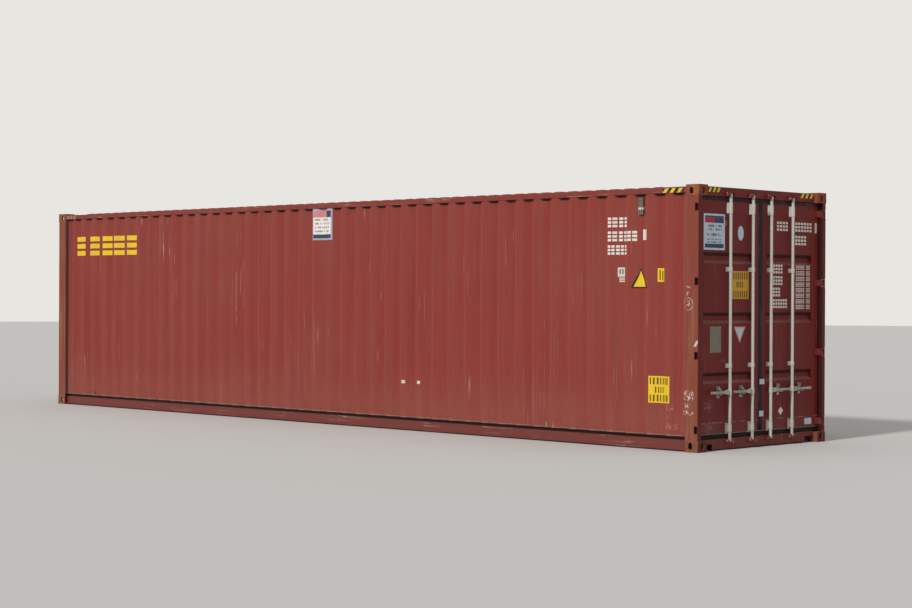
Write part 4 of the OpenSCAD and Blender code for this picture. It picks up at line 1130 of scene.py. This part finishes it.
class CONTAINER_OT_door_marks(bpy.types.Operator):
    """Puts plain signs, labels and blocks on the doors"""

    bl_idname = "container.door_marks"
    bl_label = "Door markings"

    def execute(self, context):
        paint = context.scene.container_paint
        marks = context.scene.container_marks
        fasteners = context.scene.container_fasteners
        thick = marks.film
        white = mark_film("white_door_marks", paint, marks.white, paint.door)
        yellow = mark_film("yellow_door_marks", paint, marks.yellow_worn, paint.door, 0.1,
                           panel_rows(DOOR_PANEL), "y")
        pale = mark_film("pale_door_marks", paint, marks.sky, paint.door, wear=0.1)

        codes = [box for area, count in DOOR_CODES for box in code_bars(area, count, marks)]
        finished_piece("door_code_blocks",
                       door_films([*codes, DOOR_DIGIT, *self.weights(marks)], thick), white,
                       "right_door")
        finished_piece("door_sign", door_films([DOOR_SIGN], thick), self.sign(paint, marks),
                       "left_door")
        finished_piece("door_oval", self.oval(thick), pale, "left_door")
        finished_piece("door_yellow_panel", door_films([DOOR_PANEL], thick), yellow, "left_door")
        finished_piece("door_label_scrap", door_shape(DOOR_SCRAP, thick), yellow, "left_door")
        finished_piece("data_plate", door_films([DOOR_PLATE], 4 * thick),
                       plate_metal("data_plate_metal", paint, marks.steel), "left_door")
        if marks.relief:
            finished_piece("data_plate_rivets", self.rivets(4 * thick, fasteners.small_bolt_r),
                           NODES["left_bar_brackets"].data.materials[0], "left_door")
        self.triangle(paint, marks, pale)

        labels = door_films(DOOR_SEAM_PLATES, thick + fasteners.strip_t)
        door_films([DOOR_SMALL_LABEL], thick, labels)
        finished_piece("door_labels", labels, pale, "right_door")
        low, high, bottom, top = DOOR_DIAMOND
        middle, level = (low + high) / 2, (bottom + top) / 2
        diamond = [(low, level), (middle, bottom), (high, level), (middle, top)]
        finished_piece("door_diamond", door_shape(diamond, thick), white, "right_door")
        return {"FINISHED"}

    def weights(self, marks):
        """Bars where the weights' names were, and in two columns where their figures were"""
        boxes = []
        name_share, figure_share, first_column, gap = 0.76, 0.74, 0.6, 0.04
        rows = len(DOOR_WEIGHT_BLOCKS)
        low, high, bottom, top = DOOR_WEIGHT_NAMES
        pitch = (top - bottom) / rows
        for i, blocks in enumerate(DOOR_WEIGHT_BLOCKS):
            base = bottom + i * pitch
            reach = low + (high - low) * blocks / max(DOOR_WEIGHT_BLOCKS)
            boxes += code_bars((low, reach, base, base + name_share * pitch), blocks, marks)
        low, high, bottom, top = DOOR_WEIGHT_FIGURES
        pitch = (top - bottom) / (2 * rows)
        middle = low + first_column * (high - low)
        for i in range(2 * rows):
            base = bottom + i * pitch
            for start, end, figures in ((low, middle, 5), (middle + gap, high, 3)):
                boxes += code_bars((start, end, base, base + figure_share * pitch), figures,
                                   marks)
        return boxes

    def sign(self, paint, marks):
        """Film of a blank sign with bands at its head and foot and five broken rules"""
        low, high, bottom, top = DOOR_SIGN
        edge, brow, head, foot = 0.022, 0.018, 0.06, 0.045
        west, east = low + edge, high - edge
        brow_bottom = top - edge - brow
        head_bottom = brow_bottom - head
        middle = low + 0.5 * (high - low)
        bands = [(west, east, brow_bottom, top - edge, marks.blue),
                 (west, middle, head_bottom, brow_bottom, marks.red),
                 (middle, east, head_bottom, brow_bottom, marks.blue),
                 (west, east, bottom + edge, bottom + edge + foot, marks.blue)]
        ruled = [(low + 0.06, high - 0.06, top - below, top - above) for above, below in
                 ((0.121, 0.145), (0.160, 0.184), (0.214, 0.243), (0.273, 0.287), (0.302, 0.318))]
        return sign_film("door_sign_film", paint, marks.sky, "y", bands, ruled, marks.blue)

    def oval(self, thick):
        """A flat oval label"""
        low, high, bottom, top = DOOR_OVAL
        mesh = bmesh.new()
        place = Matrix.Translation((DOOR_FACE + thick / 2, (low + high) / 2, (bottom + top) / 2))
        squash = Matrix.Diagonal((1, high - low, top - bottom, 1))
        bmesh.ops.create_cone(mesh, cap_ends=True, segments=40, radius1=0.5, radius2=0.5,
                              depth=thick, matrix=place @ squash @ Matrix.Rotation(
                                  math.radians(90), 4, "Y"))
        return mesh

    def rivets(self, lift, radius):
        """A rivet's head in each corner of the data plate"""
        inset, head = 0.012, 0.002
        low, high, bottom, top = DOOR_PLATE
        mesh = bmesh.new()
        for y in (low + inset, high - inset):
            for z in (bottom + inset, top - inset):
                seat = Vector((DOOR_FACE + lift, y, z))
                add_post(mesh, seat, seat + OUT * head, radius, 12, 0.6)
        return mesh

    def triangle(self, paint, marks, ground):
        """A blank triangle, point down, on its faded red border"""
        low, high, bottom, top = DOOR_TRIANGLE
        middle = (low + high) / 2
        rim = 0.09 * (high - low)
        red = mark_film("triangle_border", paint, blend(marks.red, 0.45, marks.white, 0.55),
                        paint.door)
        outer = [(low, top), (middle, bottom), (high, top)]
        inner = [(low + 1.7 * rim, top - rim), (middle, bottom + 2 * rim),
                 (high - 1.7 * rim, top - rim)]
        finished_piece("door_triangle_border", door_shape(outer, marks.film), red, "left_door")
        finished_piece("door_triangle", door_shape(inner, marks.film, marks.film), ground,
                       "left_door")


# Hazard stripes: (low, high, bottom, top), along y on the header and along x on the rail
HEADER_STRIPES = ((-0.974, -0.746, 2.824, 2.876), (0.780, 1.050, 2.824, 2.876))
NEAR_RAIL_STRIPES = (5.597, 5.884, 2.814, 2.862)
FAR_RAIL_STRIPES = (-5.891, -5.635, 2.814, 2.862)
STRIPES = 3


class CONTAINER_OT_hazard_stripes(bpy.types.Operator):
    """Paints slanting height-warning stripes on the header and the left top rail"""

    bl_idname = "container.hazard_stripes"
    bl_label = "Hazard stripes"

    def execute(self, context):
        paint = context.scene.container_paint
        marks = context.scene.container_marks
        yellow = mark_film("yellow_stripes", paint, marks.yellow, paint.grime_and_shade, wear=0.6)
        dark = mark_film("dark_stripes", paint, marks.dark, paint.grime_and_shade, wear=0.4)
        tan = mark_film("worn_stripes", paint, paint.dust, paint.corner, wear=1.0)
        brown = mark_film("worn_ground", paint, paint.corner, paint.grime_and_shade, wear=0.5)
        rail_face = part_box("top_side_rails")[0].y

        def on_header(along, z, lift):
            return Vector((HEADER_HIGH.x + lift, along, z))

        def on_rail(along, z, lift):
            return Vector((along, rail_face - lift, z))

        near = [*((area, on_header) for area in HEADER_STRIPES), (NEAR_RAIL_STRIPES, on_rail)]
        self.striped("hazard", near, dark, yellow, marks.film)
        self.striped("worn_hazard", [(FAR_RAIL_STRIPES, on_rail)], brown, tan, marks.film)
        return {"FINISHED"}

    def striped(self, name, places, under, over, film):
        """Patches of ground with slanting stripes on them; a place's function turns (along, z,
        lift) into a point"""
        stripes, ground = bmesh.new(), bmesh.new()
        for (low, high, bottom, top), point in places:
            outward = (point(0, 0, 1) - point(0, 0, 0)) * film
            patch = [(low, bottom), (high, bottom), (high, top), (low, top)]
            add_film(ground, [point(a, z, 0) for a, z in patch], outward)
            pitch = (high - low) / STRIPES
            slant = 0.4 * pitch
            for i in range(STRIPES):
                start = low + i * pitch
                end = start + 0.5 * pitch
                band = [(start, bottom), (end, bottom), (end + slant, top), (start + slant, top)]
                add_film(stripes, [point(a, z, film) for a, z in band], outward)
        finished_piece(f"{name}_ground", ground, under, "container")
        finished_piece(f"{name}_stripes", stripes, over, "container")


# Thickness of the plates that the locking gear is bolted on by
BRACKET_BASE = 0.006
RETAINER_BASE = 0.008


class CONTAINER_OT_gear_bolts(bpy.types.Operator):
    """Bolts the brackets and handle retainers to the doors"""

    bl_idname = "container.gear_bolts"
    bl_label = "Locking gear bolts"

    def execute(self, context):
        settings = context.scene.container_fasteners
        steel = NODES["left_bar_brackets"].data.materials[0]
        for side in SIDES:
            bolts = bmesh.new()
            boxes = loose_solids(f"{side}_bar_brackets")
            tallest = max(high.z - low.z for low, high in boxes)
            widest = max(high.y - low.y for low, high in boxes)
            for low, high in boxes:
                if high.y - low.y < 0.9 * widest:
                    continue
                large = high.z - low.z > 0.9 * tallest
                radius = settings.bolt_r if large else settings.small_bolt_r
                inset = settings.bolt_inset if large else settings.small_bolt_r * 1.5
                levels = (low.z + inset, high.z - inset) if large else ((low.z + high.z) / 2,)
                for z in levels:
                    for y in (low.y + inset, high.y - inset):
                        self.add_bolt(bolts, (DOOR_FACE + BRACKET_BASE, y, z), radius, settings)
            for low, high in loose_solids(f"{side}_handle_retainers"):
                for z in (low.z + settings.bolt_inset, high.z - settings.bolt_inset):
                    seat = (DOOR_FACE + RETAINER_BASE, (low.y + high.y) / 2, z)
                    self.add_bolt(bolts, seat, settings.small_bolt_r * 1.2, settings)
            finished_piece(f"{side}_gear_bolts", bolts, steel, f"{side}_door")
        return {"FINISHED"}

    def add_bolt(self, mesh, seat, radius, settings):
        """A hexagon bolt head on its washer, facing out of the door"""
        seat = Vector(seat)
        top = seat + OUT * settings.washer_t
        add_post(mesh, seat, top, radius * 1.5, 20)
        add_post(mesh, top, top + OUT * settings.bolt_h, radius, 6, 0.94)


class CONTAINER_OT_welds(bpy.types.Operator):
    """Lays weld beads where castings, posts, walls and header meet"""

    bl_idname = "container.welds"
    bl_label = "Weld beads"

    def execute(self, context):
        beads = bmesh.new()
        end_x, inner_x = POST_HIGH.x, POST_LOW.x
        # How deep the beads' middles lie in the posts and walls, and an end bead's extra length
        post_sink, wall_sink, overlap = 0.002, 0.001, 0.008
        end_y = POST_HIGH.y - (end_x - HEADER_HIGH.x) - overlap
        seam_x = end_x - post_sink

        def bead(start, end):
            add_post(beads, start, end, context.scene.container_fasteners.bead_r, 8)

        for s in (-1, 1):
            post_y = s * (POST_HIGH.y - post_sink)
            wall_y = s * (WALL_FACE - wall_sink)
            header_y = s * HEADER_HIGH.y
            for z in (CASTING_TOP, CASTING_UNDER):
                for x0, x1 in ((inner_x, end_x), (-end_x, -inner_x)):
                    bead((x0, post_y, z), (x1, post_y, z))
                bead((seam_x, s * end_y, z), (seam_x, s * POST_HIGH.y, z))
            for x in (inner_x, -inner_x):
                bead((x, wall_y, WALL_LOW.z), (x, wall_y, WALL_HIGH.z))
            bead((HEADER_HIGH.x, header_y, HEADER_LOW.z), (HEADER_HIGH.x, header_y, HEADER_HIGH.z))
        finished_piece("weld_beads", beads, weld_paint(context.scene.container_paint),
                       "container")
        return {"FINISHED"}


class CONTAINER_OT_seal_lips(bpy.types.Operator):
    """Gives each door seal its thin lips, and the flat strips over its edges"""

    bl_idname = "container.seal_lips"
    bl_label = "Seal lips"

    def execute(self, context):
        settings = context.scene.container_fasteners
        rubber = NODES["left_door_gasket"].data.materials[0]
        reach = settings.lip_reach
        for side in SIDES:
            low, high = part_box(f"{side}_door_gasket")
            lips = bmesh.new()
            for front in (high.x - settings.lip_t, low.x + settings.lip_t):
                back = front - settings.lip_t
                for y0, z0, y1, z1 in ((low.y - reach, low.z, low.y, high.z),
                                       (high.y, low.z, high.y + reach, high.z),
                                       (low.y, low.z - reach, high.y, low.z),
                                       (low.y, high.z, high.y, high.z + reach)):
                    add_slab(lips, (back, y0, z0), (front, y1, z1))
            finished_piece(f"{side}_seal_lips", lips, rubber, f"{side}_door")
            self.strips(side, rubber, settings.strip_t)
        return {"FINISHED"}

    def strips(self, side, rubber, thick):
        """Rubber strips below, above and on the right leaf's meeting edge, and a painted one at
        the hinges"""
        inner, outer = LEAF_LOW.y, LEAF_HIGH.y
        past_leaf, over_leaf, over_stile, short_of_seal = 0.014, 0.036, 0.006, 0.001
        covers = [(inner, outer, LEAF_LOW.z, STRIP_TOP), (inner, outer, STRIP_UNDER, LEAF_HIGH.z)]
        if side == "right":
            covers.append((inner - past_leaf, inner + over_leaf, STRIP_TOP, STRIP_UNDER))
        hinge = [(outer - over_stile, SEAL_HIGH.y - short_of_seal, STRIP_TOP, STRIP_UNDER)]
        painted = NODES["left_door_frame"].data.materials[0]
        for name, boxes, material, slot in (("seal_covers", covers, rubber, "gasket_rubber"),
                                            ("hinge_strip", hinge, painted, "door_paint")):
            placed = [(*sorted((SIDES[side] * low, SIDES[side] * high)), bottom, top)
                      for low, high, bottom, top in boxes]
            finished_piece(f"{side}_{name}", door_films(placed, thick), material, f"{side}_door")


class CONTAINER_OT_floor_screws(bpy.types.Operator):
    """Screws the floor boards to the cross members"""

    bl_idname = "container.floor_screws"
    bl_label = "Floor screws"

    def execute(self, context):
        settings = context.scene.container_fasteners
        screws = bmesh.new()
        side_margin, first_y, web_to_screw = 0.1, 0.06, 0.02
        sunk, proud = 0.001, 0.0006
        rows = int((FLOOR_HIGH.y - side_margin) / settings.screw_pitch)
        for x in sorted({round(low.x, 3) for low, high in loose_solids("cross_members")}):
            for i in range(rows + 1):
                for s in (-1, 1):
                    seat = Vector((x + web_to_screw, s * (first_y + i * settings.screw_pitch),
                                   FLOOR_HIGH.z))
                    add_post(screws, seat - UP * sunk, seat + UP * proud, settings.screw_r, 8)
        finished_piece("floor_screws", screws, NODES["floor_strip"].data.materials[0],
                       "container")
        return {"FINISHED"}


class CONTAINER_OT_studio(bpy.types.Operator):
    """Sets up the floor, the lights and the camera"""

    bl_idname = "container.studio"
    bl_label = "Studio"

    def execute(self, context):
        studio = context.scene.container_studio
        mesh = bmesh.new()
        bmesh.ops.create_circle(mesh, cap_ends=True, segments=96, radius=studio.floor_r)
        floor = mesh_object("studio_floor", mesh, studio_floor(studio))
        self.sky(context, studio)
        self.sun("key_light", studio.sun_from, studio.sun_strength, studio.sun_angle)
        self.sun("overhead_light", UP, studio.fill_strength, studio.fill_angle)
        self.camera(context, studio)
        context.scene.view_settings.view_transform = "Standard"
        return {"FINISHED"}

    def sky(self, context, studio):
        """Even light on the object, and the backdrop where it is seen or mirrored"""
        world = bpy.data.worlds.new("studio_sky")
        world.use_nodes = True
        tree = world.node_tree
        tree.nodes.clear()
        path = add_node(tree, "ShaderNodeLightPath").outputs
        seen = path["Is Camera Ray"]
        for ray in ("Is Glossy Ray", "Is Transmission Ray"):
            seen = add_node(tree, "ShaderNodeMath", {"operation": "MAXIMUM"},
                            {0: seen, 1: path[ray]}).outputs[0]
        light, backdrop = (add_node(tree, "ShaderNodeBackground", inputs={
            "Color": (*colour, 1), "Strength": strength}).outputs[0]
            for colour, strength in ((studio.sky, studio.sky_strength), (studio.backdrop, 1)))
        mixed = add_node(tree, "ShaderNodeMixShader", inputs={0: seen, 1: light, 2: backdrop})
        add_node(tree, "ShaderNodeOutputWorld", inputs={"Surface": mixed.outputs[0]})
        context.scene.world = world

    def sun(self, name, source, strength, spread):
        data = bpy.data.lights.new(name, "SUN")
        data.energy = strength
        data.angle = spread
        light = add_object(name, data)
        light.rotation_euler = Vector(source).to_track_quat("Z", "Y").to_euler()

    def camera(self, context, studio):
        data = bpy.data.cameras.new("camera")
        data.lens = studio.lens
        data.sensor_width = studio.sensor
        data.sensor_fit = "HORIZONTAL"
        data.clip_end = 500
        camera = add_object("camera", data)
        camera.matrix_world = (Matrix.Translation(studio.place)
                               @ Matrix.Rotation(studio.heading, 4, "Z")
                               @ Matrix.Rotation(math.radians(90) + studio.tilt, 4, "X")
                               @ Matrix.Rotation(studio.roll, 4, "Z"))
        context.scene.camera = camera


STEPS = (
    CONTAINER_OT_studio,
    CONTAINER_OT_paint_parts,
    CONTAINER_OT_side_marks,
    CONTAINER_OT_door_marks,
    CONTAINER_OT_hazard_stripes,
    CONTAINER_OT_gear_bolts,
    CONTAINER_OT_welds,
    CONTAINER_OT_seal_lips,
    CONTAINER_OT_floor_screws,
)


class CONTAINER_PT_steps(bpy.types.Panel):
    """Lists the container's settings and the steps that make it"""

    bl_label = "Shipping container"
    bl_space_type = "VIEW_3D"
    bl_region_type = "UI"
    bl_category = "Container"

    def draw(self, context):
        for step in STEPS:
            self.layout.operator(step.bl_idname)
        for name, kind in SETTINGS.items():
            group = getattr(context.scene, name)
            box = self.layout.box()
            for key in kind.__annotations__:
                box.prop(group, key)


CLASSES = (*SETTINGS.values(), *STEPS, CONTAINER_PT_steps)


def register():
    for cls in CLASSES:
        bpy.utils.register_class(cls)
    for name, kind in SETTINGS.items():
        setattr(bpy.types.Scene, name, PointerProperty(type=kind))


def unregister():
    for name in SETTINGS:
        delattr(bpy.types.Scene, name)
    for cls in reversed(CLASSES):
        bpy.utils.unregister_class(cls)


def main():
    register()
    for step in STEPS:
        group, name = step.bl_idname.split(".")
        getattr(getattr(bpy.ops, group), name)()


if __name__ == "__main__":
    main()
